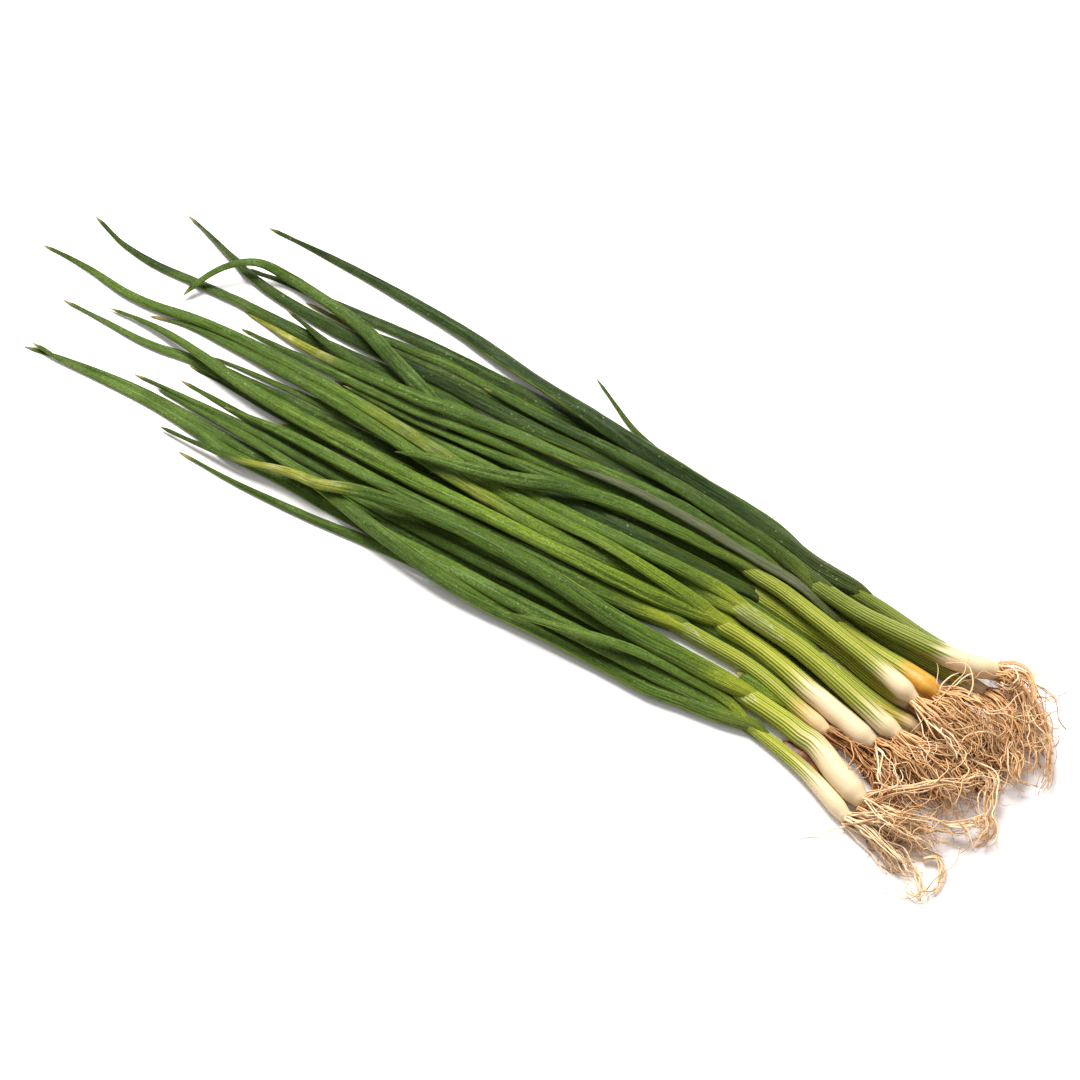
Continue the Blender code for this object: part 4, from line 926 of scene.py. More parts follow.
class NodeTree:
    """Short ways to add and link the nodes of one material."""

    def __init__(self, name):
        self.material = bpy.data.materials.new(name)
        self.material.use_nodes = True
        self.tree = self.material.node_tree
        self.shader = self.tree.nodes["Principled BSDF"]

    def node(self, kind, **settings):
        made = self.tree.nodes.new(kind)
        for name, value in settings.items():
            setattr(made, name, value)
        return made

    def link(self, source, target):
        """Links a socket, or sets a number or a colour, which may come without its alpha."""
        if isinstance(source, bpy.types.NodeSocket):
            self.tree.links.new(source, target)
        elif isinstance(source, (int, float)):
            target.default_value = source
        else:
            target.default_value = (*source, 1.0)

    def mask(self, name):
        return self.node("ShaderNodeAttribute", attribute_name=name).outputs["Fac"]

    def math(self, operation, a, b=0.0):
        made = self.node("ShaderNodeMath", operation=operation)
        self.link(a, made.inputs[0])
        self.link(b, made.inputs[1])
        return made.outputs[0]

    def times(self, a, b):
        return self.math("MULTIPLY", a, b)

    def plus(self, a, b):
        return self.math("ADD", a, b)

    def span(self, value, low, high, to_low=0.0, to_high=1.0):
        """From to_low to to_high as the value goes from low to high, level at both ends."""
        made = self.node("ShaderNodeMapRange", interpolation_type="SMOOTHSTEP")
        self.link(value, made.inputs["Value"])
        made.inputs["From Min"].default_value = low
        made.inputs["From Max"].default_value = high
        made.inputs["To Min"].default_value = to_low
        made.inputs["To Max"].default_value = to_high
        return made.outputs["Result"]

    def mix(self, share, a, b, blend="MIX"):
        made = self.node("ShaderNodeMix", data_type="RGBA", blend_type=blend)
        self.link(share, made.inputs[0])
        self.link(a, made.inputs[6])
        self.link(b, made.inputs[7])
        return made.outputs[2]

    def noise(self, coordinates, scale, detail=3.0, roughness=0.55):
        made = self.node("ShaderNodeTexNoise")
        self.link(coordinates, made.inputs["Vector"])
        made.inputs["Scale"].default_value = scale
        made.inputs["Detail"].default_value = detail
        made.inputs["Roughness"].default_value = roughness
        return made.outputs["Fac"]

    def stretched(self, round_, along):
        """The strand's own coordinates, scaled round it and along it."""
        made = self.node("ShaderNodeMapping")
        self.link(self.strand_place(), made.inputs["Vector"])
        made.inputs["Scale"].default_value = (round_, along, 1.0)
        return made.outputs["Vector"]

    def lines(self, count, waver, strength):
        """Lines that run along the strand, count of them round it, each wavering with the noise."""
        split = self.node("ShaderNodeSeparateXYZ")
        self.link(self.strand_place(), split.inputs["Vector"])
        turns = self.times(split.outputs["X"], math.tau * count)
        return self.math("SINE", self.plus(turns, self.times(waver, strength * math.tau)))

    def strand_place(self):
        return self.node("ShaderNodeUVMap", uv_map="strand").outputs["UV"]

    def object_place(self):
        return self.node("ShaderNodeTexCoord").outputs["Object"]

    def bump(self, height, strength, distance):
        made = self.node("ShaderNodeBump")
        made.inputs["Strength"].default_value = strength
        made.inputs["Distance"].default_value = distance
        self.link(height, made.inputs["Height"])
        self.link(made.outputs["Normal"], self.shader.inputs["Normal"])

    def surface(self, **values):
        """Sets or links the shader's sockets by their names in SOCKETS."""
        for name, value in values.items():
            self.link(value, self.shader.inputs[SOCKETS[name]])

    def under_skin(self, weight, red, green, blue, scale):
        """Light that passes a little way under the skin, further in some colours than in others."""
        self.surface(subsurface=weight, subsurface_scale=scale)
        self.shader.inputs["Subsurface Radius"].default_value = (red, green, blue)


def shoot_patterns(n):
    """The noises and lines that a shoot's colours and its bump share, each by its own name."""
    p = SimpleNamespace(place=n.object_place(), green=n.mask("green"), tone=n.mask("tone"))
    p.cloud = n.noise(p.place, 70.0, detail=5.0, roughness=0.65)
    p.broad = n.noise(n.stretched(9.0, 1.3), 1.0, detail=2.0)
    p.fine = n.noise(n.stretched(40.0, 2.0), 1.0, detail=2.0)
    p.streak = n.noise(n.stretched(24.0, 7.0), 1.0, detail=5.0, roughness=0.7)
    p.grain = n.noise(n.stretched(30.0, 70.0), 1.0, detail=4.0, roughness=0.75)
    p.each = n.noise(n.stretched(22.0, 0.7), 1.0, detail=1.0)
    p.leafy = n.span(p.green, 0.5, 0.95)
    p.veins = n.lines(20.0, n.noise(n.stretched(6.0, 0.6), 1.0, detail=1.0), 1.5)
    p.ribs = n.lines(34.0, p.fine, 2.0)
    return p


def shoot_ground(n, p, settings):
    """Cream through lime or olive along the shank, in flames, then a leaf's green by tone, with pores."""
    sheath = n.mix(n.mask("deep"), settings.lime, settings.olive)
    flame = n.times(n.math("SUBTRACT", p.each, 0.5), n.span(p.green, 0.0, 0.15, 0.0, 0.7))
    shank = n.mix(n.span(n.plus(p.green, flame), 0.0, 0.5), settings.cream, sheath)
    leaf = n.mix(n.span(p.tone, 0.0, 1.0), settings.green, settings.bright)
    leaf = n.mix(n.span(p.tone, 0.0, -1.0), leaf, settings.dark)
    colour = n.mix(n.span(p.green, 0.45, 1.0), shank, leaf)
    shadow = n.times(n.span(p.streak, 0.6, 0.4), n.times(p.leafy, 0.75))
    colour = n.mix(shadow, colour, (0.36, 0.40, 0.30), "MULTIPLY")
    pores = n.noise(p.place, 1500.0, detail=2.0, roughness=0.7)
    colour = n.mix(p.leafy, colour, n.span(pores, 0.3, 0.7, 0.5, 1.6), "MULTIPLY")
    fresh = n.times(n.span(p.broad, 0.5, 0.8), n.times(p.leafy, 0.4))
    fresh = n.times(fresh, n.span(p.tone, -0.9, 0.0, 0.1, 1.0))
    return n.mix(fresh, colour, settings.bright)


def shoot_lines(n, p, settings, colour):
    """Dark veins with pale ridges between them on the shank, and waxy ribs with dark hairlines on a leaf."""
    thick = n.times(n.span(p.veins, -0.1, 0.9), n.span(p.each, 0.38, 0.6, 0.12, 1.0))
    colour = n.mix(n.times(n.mask("veins"), thick), colour, settings.stripe)
    ridge = n.times(n.span(p.veins, -0.35, -0.85), n.times(n.mask("veins"), 0.45))
    colour = n.mix(ridge, colour, (0.62, 0.60, 0.17))
    waxy_rib = n.times(p.leafy, n.span(p.tone, -0.9, 0.1, 0.05, 0.22))
    colour = n.mix(n.times(n.span(p.ribs, 0.2, 0.9), waxy_rib), colour, settings.wax)
    hairline = n.times(n.span(n.lines(15.0, p.fine, 1.1), 0.72, 0.97), n.span(p.broad, 0.35, 0.55))
    return n.mix(n.times(hairline, n.times(p.leafy, 0.7)), colour, settings.dark)


def shoot_bloom(n, p):
    """How thick the wax is: the bloom's mask, broken into clouds, long patches and grain."""
    patch = n.times(n.span(p.cloud, 0.3, 0.65, 0.1, 1.0), n.span(p.broad, 0.3, 0.7, 0.25, 1.0))
    return n.times(n.mask("bloom"), n.times(patch, n.span(p.grain, 0.38, 0.6, 0.1, 1.0)))


def shoot_marks(n, p, colour):
    """Bright edges where a leaf is pressed flat, partly pale wax and partly a painted highlight, and small
    pale specks.
    """
    # A painted highlight, with some pale wax, along both edges of a leaf.
    edge_highlight_and_wax = n.times(n.mask("edge"), n.span(p.streak, 0.3, 0.6, 0.15, 0.8))
    colour = n.mix(edge_highlight_and_wax, colour, (0.30, 0.42, 0.05))
    dots = n.node("ShaderNodeTexVoronoi")
    n.link(p.place, dots.inputs["Vector"])
    n.link(360.0, dots.inputs["Scale"])
    speck = n.times(n.span(dots.outputs["Distance"], 0.22, 0.1), n.span(p.grain, 0.45, 0.6))
    speck = n.times(speck, n.times(n.span(p.cloud, 0.38, 0.55), p.leafy))
    return n.mix(n.times(speck, 0.5), colour, (0.45, 0.55, 0.30))


def shoot_age(n, p, settings, colour):
    """What has withered: a grey leaf, a yellowed stretch and a dried tip, each by its own mask."""
    faded = n.mix(n.span(p.streak, 0.35, 0.65), (0.19, 0.19, 0.12), (0.10, 0.12, 0.045))
    colour = n.mix(n.mask("grey"), colour, faded)
    yellowed = n.mix(n.span(p.grain, 0.4, 0.6), (0.52, 0.46, 0.06), (0.30, 0.33, 0.03))
    yellowed = n.mix(n.span(p.cloud, 0.45, 0.65, 0.0, 0.8), yellowed, (0.70, 0.62, 0.26))
    colour = n.mix(n.times(n.mask("yellow"), n.span(p.streak, 0.4, 0.56, 0.15, 1.0)), colour, yellowed)
    dried = n.mix(n.span(p.grain, 0.35, 0.65), settings.straw, (0.48, 0.32, 0.07))
    dried = n.mix(n.span(p.cloud, 0.5, 0.7, 0.0, 0.6), dried, (0.80, 0.74, 0.42))
    return n.mix(n.mask("dry"), colour, dried)


def shoot_wraps(n, p, settings, colour):
    """What wraps a shank: the orange dry skin, the papery film in streaks, and the film's pale rim."""
    skin = n.mix(n.span(p.fine, 0.4, 0.65), settings.skin, (0.66, 0.40, 0.09))
    skin = n.mix(n.span(p.grain, 0.45, 0.65, 0.0, 0.5), skin, (0.50, 0.19, 0.03))
    colour = n.mix(n.mask("skin"), colour, skin)
    paper = n.mix(n.span(p.grain, 0.35, 0.65), (0.22, 0.28, 0.10), (0.42, 0.45, 0.25))
    film = n.times(n.mask("film"), n.span(p.streak, 0.42, 0.62, 0.12, 0.75))
    colour = n.mix(film, colour, paper)
    return n.mix(n.mask("rim"), colour, (0.52, 0.50, 0.28))


def shoot_height(n, p):
    """The relief for the bump: grain, ribs, streaks and crumples on a leaf, and sunken veins on a shank."""
    height = n.plus(
        n.times(p.ribs, n.span(p.green, 0.4, 0.8, 0.0, 0.35)),
        n.times(p.grain, n.span(p.green, 0.3, 0.9, 0.25, 1.2)))
    height = n.plus(height, n.times(p.streak, n.span(p.green, 0.1, 0.8, 0.15, 0.8)))
    height = n.plus(height, n.times(p.veins, n.times(n.mask("veins"), -0.25)))
    crumple = n.noise(n.stretched(10.0, 22.0), 1.0, detail=2.0)
    return n.plus(height, n.times(crumple, n.span(p.green, 0.4, 0.9, 0.0, 2.2)))


def shoot_finish(settings):
    """Waxy shank and leaves: ground colour, lines, bloom, marks, age and wraps, laid over each other."""
    n = NodeTree("waxy shoot")
    p = shoot_patterns(n)
    colour = shoot_lines(n, p, settings, shoot_ground(n, p, settings))
    bloom = shoot_bloom(n, p)
    colour = shoot_marks(n, p, n.mix(bloom, colour, settings.wax))
    colour = shoot_wraps(n, p, settings, shoot_age(n, p, settings, colour))
    n.surface(
        colour=colour, specular=0.14, coat=n.span(p.green, 0.1, 0.45, 0.4, 0.03), coat_roughness=0.2,
        roughness=n.plus(n.span(p.green, 0.5, 0.9, 0.4, 0.52), n.times(bloom, 0.14)))
    n.under_skin(0.08, 1.0, 1.0, 0.3, scale=0.0012)
    n.bump(shoot_height(n, p), 0.8, 0.0006)
    return n.material


def root_finish(settings):
    """Brown to straw to clean and pale by the shade mask, each fibre its own tone, made darker as painted
    shade where it lies low in the mat, with brown stains and a fine grain.
    """
    n = NodeTree("root fibre")
    place, shade = n.object_place(), n.mask("shade")
    colour = n.mix(n.span(shade, 0.0, 0.55), settings.brown, settings.straw)
    colour = n.mix(n.span(shade, 0.5, 1.0), colour, settings.pale)
    stain = n.noise(place, 150.0, detail=3.0)
    colour = n.mix(n.span(stain, 0.5, 0.75, 0.0, 0.55), colour, (0.40, 0.20, 0.075))
    n.surface(colour=colour, roughness=0.5, specular=0.3)
    n.under_skin(0.12, 1.0, 0.6, 0.3, scale=0.0006)
    n.bump(n.noise(place, 1100.0, detail=2.0), 0.4, 0.0003)
    return n.material


def scale_finish():
    """Dark and red-brown mottled skin, dry and a little shiny."""
    n = NodeTree("dried skin")
    grain = n.noise(n.object_place(), 160.0)
    mottled = n.mix(n.span(grain, 0.35, 0.65), (0.06, 0.012, 0.002), (0.20, 0.062, 0.014))
    n.surface(colour=mottled, roughness=0.4, specular=0.25)
    n.bump(grain, 0.7, 0.0008)
    return n.material


def short_turn(angle):
    """The same angle, between minus and plus half a turn."""
    return np.angle(np.exp(1j * angle))


def round_angles(facets):
    """A full turn in equal steps, one for each facet."""
    return np.arange(facets) * math.tau / facets


def shank_points(rng, rows, depth, full, angle):
    """Ribbed bulb and neck: the settled line with its radius, which narrows a little towards the foot,
    closes there in a dome as the square root of the depth, and narrows by a fifth past the mouth. Ribs, one
    slow fold and lumps make its rings uneven, and the mouth slants: it is longer on one side, as a sheath
    is."""
    rows[:, 3] *= 0.93 + 0.07 * smoothstep(depth / FOOT_TAPER)
    rows[:, 3] *= np.sqrt(np.clip((depth + DOME_START) / DOME_HEIGHT, 0.05, 1))
    rows[:, 3] *= 1 - 0.2 * smoothstep((depth - full) / MOUTH_TAPER)
    ribs = np.cos(angle[None] * SHANK_RIBS + 1.5 * ripple(rng, depth, 60)[:, None])
    fold = np.cos(2 * (angle[None] - rng.uniform(0, 3) - depth[:, None] * 0.01))
    lumps = ripple(rng, depth[:, None] + 9 * np.cos(angle[None]), 26)
    uneven = (0.0015 * ribs + 0.03 * fold) * smoothstep(depth / RIBS_GROW)[:, None]
    profile = 1.02 + uneven + 0.014 * lumps
    mouth = smoothstep((depth - full + 4) / 12)
    turned = short_turn(angle - rng.uniform(2.2, 3.2))
    slant = 1 + MOUTH_SLANT * (np.abs(turned) / math.pi) ** 1.5 + 0.6 * ripple(rng, angle * 9, 7)
    return sweep(rows, profile, squash=0.05, shift=slant[None] * mouth[:, None])


def shank_masks(rng, look, depth, full, angle):
    """Where a shank is cream, green, olive, in its orange skin or under its papery film.

    The bands run across it and waver round it. The film ends in a point towards the root, on top, with a
    pale border, and the mouth has a pale rim where there is film."""
    reach = depth[:, None] + BAND_WAVER * ripple(rng, angle[None] * 30 + 0 * depth[:, None], 18)
    green = smoothstep((reach - look.white) / (look.lime - look.white))
    olive = smoothstep((reach - look.lime) / (full - look.lime + 30))
    flames = depth[:, None] + SKIN_WAVER * ripple(rng, angle[None] * 14 + 0.2 * depth[:, None], 12)
    skin = look.skin * (1 - smoothstep((flames - SKIN_LENGTH) / 5))
    veins = look.veins * smoothstep((reach - look.white - 2) / 12) * (1 - 0.9 * skin)
    from_top = np.abs(short_turn(angle - 2.7 - rng.uniform(-0.3, 0.3)))
    point = look.film * (np.clip(1.1 - from_top / 1.5, 0.05, 1) + 0.1 * ripple(rng, angle * 6, 4))
    left = full + FILM_OVERHANG - depth[:, None]
    papery = 1.0 if look.film else 0.0
    film = papery * (1 - smoothstep((left - point[None]) / 0.8)) * 0.75
    border = papery * np.exp(-(((left - point[None]) / 0.7) ** 2))
    rim = np.maximum((1 - smoothstep((left - 0.9) / 0.6)) * (0.1 + 0.75 * papery), 0.6 * border)
    return {
        "green": 0.5 * green + 0.22 * olive, "tone": 0.35 - 0.7 * look.deep, "bloom": 0.15 * green,
        "skin": skin, "veins": veins, "film": film, "rim": rim, "deep": look.deep}


def add_shank(surface, name, strand, xs, y, z, settings):
    """A shank on its settled line; depth is the distance from its foot, and full that of its mouth."""
    rng = np.random.default_rng(int(name))
    rows = centre_line(strand, xs, y, z, SHANK_RING_GAP)
    depth = strand.high - rows[:, 0]
    full = strand.high - strand.pin_x
    angle = round_angles(settings.shank_facets)
    points = shank_points(rng, rows, depth, full, angle)
    surface.add_tube(points, depth, **shank_masks(rng, SHANKS[name], depth, full, angle))


def add_leaf(surface, title, strand, leaf, xs, y, z, settings):
    """A leaf on its settled line: its start slips inside the shank, and its end stays fuller than a cone."""
    rows = centre_line(strand, xs, y, z, settings.ring_gap / MM)
    rows[:, 3] = leaf.girth * np.clip(rows[:, 3] / leaf.girth, 0.05, 1) ** LEAF_FULLNESS
    rows[:, 3] *= 0.35 + 0.65 * smoothstep((strand.high - rows[:, 0]) / (strand.high - strand.pin_x + 1))
    leaf_skin(surface, title, rows, strand.high - strand.pin_x, LOOKS[title], settings)


def press_leaf(rng, rows, depth, left, reach, look, swell):
    """Shapes a leaf's rows and returns how flat each ring is.

    A leaf swells where the pile presses it, has a slight hump at the mouth of its shank and rounds off at
    its tip. It is flatter where its line bends sharply and where it is pressed, and sinks by as much. A
    lifted one lies higher along the line of sight, all but its two ends."""
    out = smoothstep((depth - reach + 8) / LEAF_OPENS)
    rows[:, 3] *= (1 + swell * look.press * out) * (1.03 + 0.05 * ripple(rng, depth, 34))
    rows[:, 3] *= smoothstep(np.clip((left + 1.6) / TIP_ROUND, 0.15, 1))
    rows[:, 3] *= 1 + 0.12 * np.exp(-(((depth - reach - 6) / MOUTH_HUMP) ** 2))
    ahead = np.gradient(rows[:, :3], depth, axis=0)
    bend = np.linalg.norm(np.gradient(ahead, depth, axis=0), axis=1)
    bend = np.convolve(bend, np.ones(5) / 5, mode="same")
    squash = 0.28 + 0.1 * ripple(rng, depth, 80)
    squash = squash + 5.0 * np.clip(bend - SHARP_BEND, 0, None) + 0.22 * look.press
    squash = np.clip(squash, 0.05, MOST_SQUASHED) * out
    rows[:, 2] -= rows[:, 3] * squash * look.press * 0.8
    lift = look.lift * smoothstep(depth / 40) * smoothstep(left / 40)
    rows[:, :3] += (VIEWPOINT - rows[:, :3]) * (lift / VIEWPOINT[2])[:, None]
    return out, squash


def leaf_profile(rng, depth, angle):
    """Rings with ribs that twist slowly, one crease that wanders and comes and goes, and small lumps."""
    twist = 0.5 * ripple(rng, depth, 240)
    ribs = np.cos(angle[None] * LEAF_RIBS + twist[:, None] * 4)
    crease_at = math.pi + rng.uniform(-0.9, 0.9) + 0.5 * ripple(rng, depth, 150)
    crease = np.exp(-(short_turn(angle[None] - crease_at[:, None]) / CREASE_WIDTH) ** 2)
    crease_depth = 0.26 * smoothstep(1.8 * ripple(rng, depth, 90) + 0.2)
    profile = 1 + 0.014 * ribs - crease * crease_depth[:, None]
    return profile + 0.02 * ripple(rng, depth[:, None] + 5 * np.sin(angle[None]), 9)


def leaf_masks(rng, look, depth, left, reach, angle):
    """Where a leaf is green, young, old, waxy, yellowed or dried: past is the distance from the mouth of its
    shank and left that from its tip."""
    past = depth - reach
    dark = look.tone <= -0.6
    green = smoothstep((past + 14) / (22 if dark else 52)) * 0.4 + 0.6
    dry = 1 - smoothstep((left - 0.2 * look.tip) / (0.45 * look.tip))
    patchy = dry[:, None] * (0.85 + 0.4 * ripple(rng, angle[None] * 9 + left[:, None] * 0.5, 22))
    young = 0.35 * (not dark) * (1 - smoothstep(past / 50))
    old = 0.45 * smoothstep((past - 80) / 160) * (look.tone > 0)
    tone = look.tone + 0.25 * ripple(rng, depth, 90) + young - old
    near, far, much = look.yellow
    from_near = smoothstep((left - near + 5) / 18) if near else 1.0
    yellow = much * from_near * (1 - smoothstep((left - far + 12) / 22))
    bloom = look.bloom * (0.15 + 0.8 * smoothstep(past / 80)) + 0.3 * smoothstep((150 - left) / 120)
    grey = look.grey * smoothstep(depth / GREYS_OVER)
    veins = 0.3 * (1 - smoothstep(past / STRIPES_END))
    each_ring = {
        "green": green, "tone": tone, "bloom": bloom, "yellow": yellow, "grey": grey, "veins": veins}
    # The edge mask: a painted highlight, with some pale wax, along both sides of the leaf, growing over the
    # first 20 mm past the mouth.
    edge_highlight_and_wax = np.abs(np.sin(angle))[None] ** 20 * smoothstep(past / 20)[:, None]
    return {
        **{name: values[:, None] for name, values in each_ring.items()},
        "dry": np.clip(patchy, 0, 1), "edge": edge_highlight_and_wax, "deep": look.tone < 0}


def leaf_skin(surface, title, rows, reach, look, settings):
    """A leaf along its rows, which leaves its shank reach millimetres from its start: a tube that is pressed
    flat, has two edges that come and go, and leans over now and then."""
    rng = np.random.default_rng(seed_of(title))
    step = np.linalg.norm(np.diff(rows[:, :3], axis=0), axis=1)
    depth = np.concatenate([[0], np.cumsum(step)])
    left = depth[-1] - depth
    angle = round_angles(settings.leaf_facets)
    out, squash = press_leaf(rng, rows, depth, left, reach, look, settings.swell)
    profile = leaf_profile(rng, depth, angle)
    pinch = np.clip(0.3 + 0.3 * ripple(rng, depth, 100), 0, 0.9) * out
    points = sweep(rows, profile, squash, pinch, lean=0.6 * ripple(rng, depth, 130), flat=0.8 * out)
    surface.add_tube(points, depth, **leaf_masks(rng, look, depth, left, reach, angle))


def seed_of(title):
    """A number from a leaf's name that is the same on every run."""
    return sum((place + 3) * ord(letter) for place, letter in enumerate(title))


def tuft_paths(rng, tuft, start, foot, wave):
    """Fibres as an array of fibre, station and place, with how far along its way each point is.

    The way is a smooth curve. A fibre keeps its own place in the tuft's section, which opens from the plate
    on, and wanders from it sideways, upwards and back along the way by smooth noise that grows towards its
    end, so that straight roots at the plate become crossing curls."""
    way = np.array([(*raised(px, py, pz), pz, 0.0) for px, py, pz in tuft.way])
    from_plate = np.linalg.norm(way[0, :2] - start[:2]) < PLATE_REACH
    foot = foot if from_plate and tuft.count > 1 else 0.0
    way[0, :3] = start if foot else way[0, :3]
    line = spline(way, WAY_GAP)[:, :3]
    length = WAY_GAP * len(line)
    count = tuft.count
    end = rng.uniform(0.5, 1.0, count) ** 0.6 if count > 1 else np.ones(1)
    along = np.linspace(0, 1, FIBRE_STATIONS)[None] * end[:, None]
    at = along * (len(line) - 1)
    paths = np.stack([np.interp(at, np.arange(len(line)), line[:, k]) for k in range(3)], axis=-1)
    ahead = np.gradient(paths, axis=1)
    ahead[..., 2] = 0
    ahead /= np.linalg.norm(ahead, axis=-1, keepdims=True) + 1e-6
    side = np.stack([-ahead[..., 1], ahead[..., 0], 0 * ahead[..., 0]], axis=-1)
    turn = rng.uniform(0, math.tau, count)
    out = rng.uniform(0, 1, count) ** 0.4
    opened = tuft.spread * (0.8 + 1.1 * along)
    if foot:
        parallel, opening = ROOTS_PARALLEL
        opened = foot + (opened - foot) * smoothstep((along * length - parallel) / opening)
    reach = along * length
    lively = rng.uniform(0.5, 1.5, count)[:, None] * wave
    calm = smoothstep(reach / CALM) * tuft.wild
    loose = calm * (0.4 + 4.2 * along ** 1.3) * lively
    drift = rng.normal(0, 0.8, (2, count))[:, :, None] * tuft.spread * along
    own, own_up, lag = (np.stack([ripple(rng, row, size, 3) for row in reach]) for size in (18, 16, 17))
    shared = ripple(rng, reach, 14)
    across_ = (out * np.cos(turn))[:, None] * opened + drift[0] + loose * own + 0.5 * calm * wave * shared
    above = (out * np.sin(turn))[:, None] * opened + 0.4 * drift[1] + 0.5 * loose * own_up
    paths = paths + side * across_[..., None] + ahead * (0.8 * loose * lag)[..., None]
    paths[..., 2] += above
    return paths, along


def mat_tufts(onion, foot_z, fibres, pale):
    """The fan under an onion, as loose tufts between its two drawn edges, each at its own height in
    golden-ratio steps between the fan's two heights.
    """
    far, near = np.array(onion.roots.far, float), np.array(onion.roots.near, float)
    start = np.array(onion.shank[0], float)
    tufts = []
    for number in range(MAT_TUFTS):
        share = (number + 0.5) / MAT_TUFTS
        middle = far + (near - far) * share
        crest = crest_height(onion.roots, number)
        heights = (crest, 0.8 * crest, 0.3 * crest)
        aside = (share - 0.5) * -1.4 * onion.foot
        way = [(start[0] + 0.5, start[1] + aside, foot_z)]
        way += [(*point, height) for point, height in zip(middle, heights)]
        tufts.append(Tuft(max(round(fibres / MAT_TUFTS), 1), 2.8, pale, way))
    return tufts


def side_roots(rng, paths, count, shortest, longest, curl):
    """Roots that leave the others aslant and curl: each turns at a steady rate of its own, with some noise,
    and its place is the running sum of its steps. They rise a little and come down again. Those that would
    leave the mat are dropped."""
    fibre = rng.integers(0, len(paths), count)
    spot = rng.integers(paths.shape[1] // 4, paths.shape[1] - 1, count)
    start = paths[fibre, spot]
    ahead = start - paths[fibre, spot - 1]
    length = rng.uniform(shortest, longest, count)[:, None]
    s = np.linspace(0, 1, SIDE_ROOT_STATIONS)[None] * length
    heading = np.arctan2(ahead[:, 1], ahead[:, 0]) + rng.normal(0, 0.8, count)
    heading = heading[:, None] + s * rng.normal(0, curl, (count, 1))
    heading = heading + 0.8 * np.stack([ripple(rng, row, 11, 3) for row in s])
    rise = 0.35 * np.cos(math.pi * s / length) + rng.normal(0, 0.12, (count, 1))
    stride = length / (SIDE_ROOT_STATIONS - 1)
    steps = np.stack([np.cos(heading), np.sin(heading), rise], axis=-1) * stride[..., None]
    roots = start[:, None] + np.cumsum(steps, axis=1) - steps[:, :1]
    inside = (roots[..., 0].max(1) < MAT_RIGHT) & (roots[..., 1].max(1) < MAT_BACK)
    return roots[inside & (roots[..., 1].min(1) > MAT_FRONT)]


def add_fibres(surface, paths, radius, shade):
    """Every fibre as a thin tube of its own, all worked out in one array. Their maps run by stations."""
    count, stations = paths.shape[:2]
    paths[..., 2] = np.maximum(paths[..., 2], radius)
    ahead = np.gradient(paths, axis=1)
    ahead /= np.linalg.norm(ahead, axis=-1, keepdims=True) + 1e-9
    side = np.cross(np.array([0.17, 0.31, 0.93]), ahead)
    side /= np.linalg.norm(side, axis=-1, keepdims=True) + 1e-9
    up = np.cross(ahead, side)
    angle = round_angles(FIBRE_SIDES)
    ring = radius[..., None, None] * (
        np.cos(angle)[:, None] * side[..., None, :] + np.sin(angle)[:, None] * up[..., None, :])
    points = paths[..., None, :] + ring
    points[..., 2] = np.maximum(points[..., 2], LOWEST_POINT)
    for fibre in range(count):
        surface.add_tube(points[fibre], np.arange(stations), shade=shade[fibre][:, None])


def add_plate(surface, onion, foot, xs, y, z):
    """The basal plate: rings that narrow from the foot of the shank to where the roots leave it."""
    ends = foot + PLATE_GAP + np.linspace(0, PLATE_THICKNESS, len(PLATE_GIRTHS))
    girths = onion.foot * PLATE_GIRTHS
    rows = np.stack([ends, np.interp(ends, xs, y), np.interp(ends, xs, z), girths], axis=1)
    round_ = np.ones((len(PLATE_GIRTHS), PLATE_FACETS))
    surface.add_tube(sweep(rows, round_), np.arange(len(PLATE_GIRTHS)), shade=0.25)


def add_mat(surface, rng, name, start, settings):
    """The fan of an onion and its loose tufts. Low fibres are darker, as in the shade of the mat. Returns
    the paths of all that aren't single strands."""
    onion = ONIONS[name]
    fibres = settings.fibres * DENSITY.get(name, 1.0)
    tufts = mat_tufts(onion, start[2], fibres, PALENESS.get(name, PALENESS_OF_MOST))
    every = []
    for tuft in tufts + TUFTS[name]:
        paths, along = tuft_paths(rng, tuft, start, 1.15 * onion.foot, settings.wave / MM)
        thick = 0.5 * settings.thickness / MM * rng.uniform(0.55, 1.05, tuft.count)
        radius = thick[:, None] * (1 - 0.62 * along ** 1.2)
        # Painted shade: a fibre is darker, by up to half, the nearer it lies to the surface, and pale tufts
        # less so.
        low = (1 - smoothstep((paths[..., 2] - 0.5) / 10)) * (0.5 - 0.4 * max(tuft.pale, 0))
        own = 0.56 + 0.3 * tuft.pale + rng.uniform(-0.22, 0.22, tuft.count)[:, None]
        add_fibres(surface, paths, radius, np.clip(own * (1 - low) + 0.2 * tuft.pale, 0, 1))
        if tuft.count > 1:
            every.append(paths)
    return np.concatenate(every)


def add_side_roots(surface, rng, paths, settings):
    """Many short fine side roots, and a third as many long ones that are thicker and straighter."""
    for count, shortest, longest, curl, girth in (
            (settings.hairs, 4, 12, 0.18, 0.2), (settings.hairs // 3, 12, 26, 0.09, 0.34)):
        roots = side_roots(rng, paths, count, shortest, longest, curl)
        own = rng.uniform(0.75, 1.2, (len(roots), 1))
        radius = np.linspace(1.0, 0.45, roots.shape[1]) * girth * own
        shade = rng.uniform(0.3, 0.85, len(roots))[:, None]
        # Painted shade: a side root is darker, by up to half, the lower it lies in the mat.
        add_fibres(surface, roots, radius, shade * (0.5 + 0.5 * smoothstep(roots[..., 2] / 9)))


# What a shoot's finish reads at each point
SHOOT_MASKS = (
    "green", "tone", "bloom", "dry", "skin", "veins", "film", "rim", "edge", "deep", "grey", "yellow")


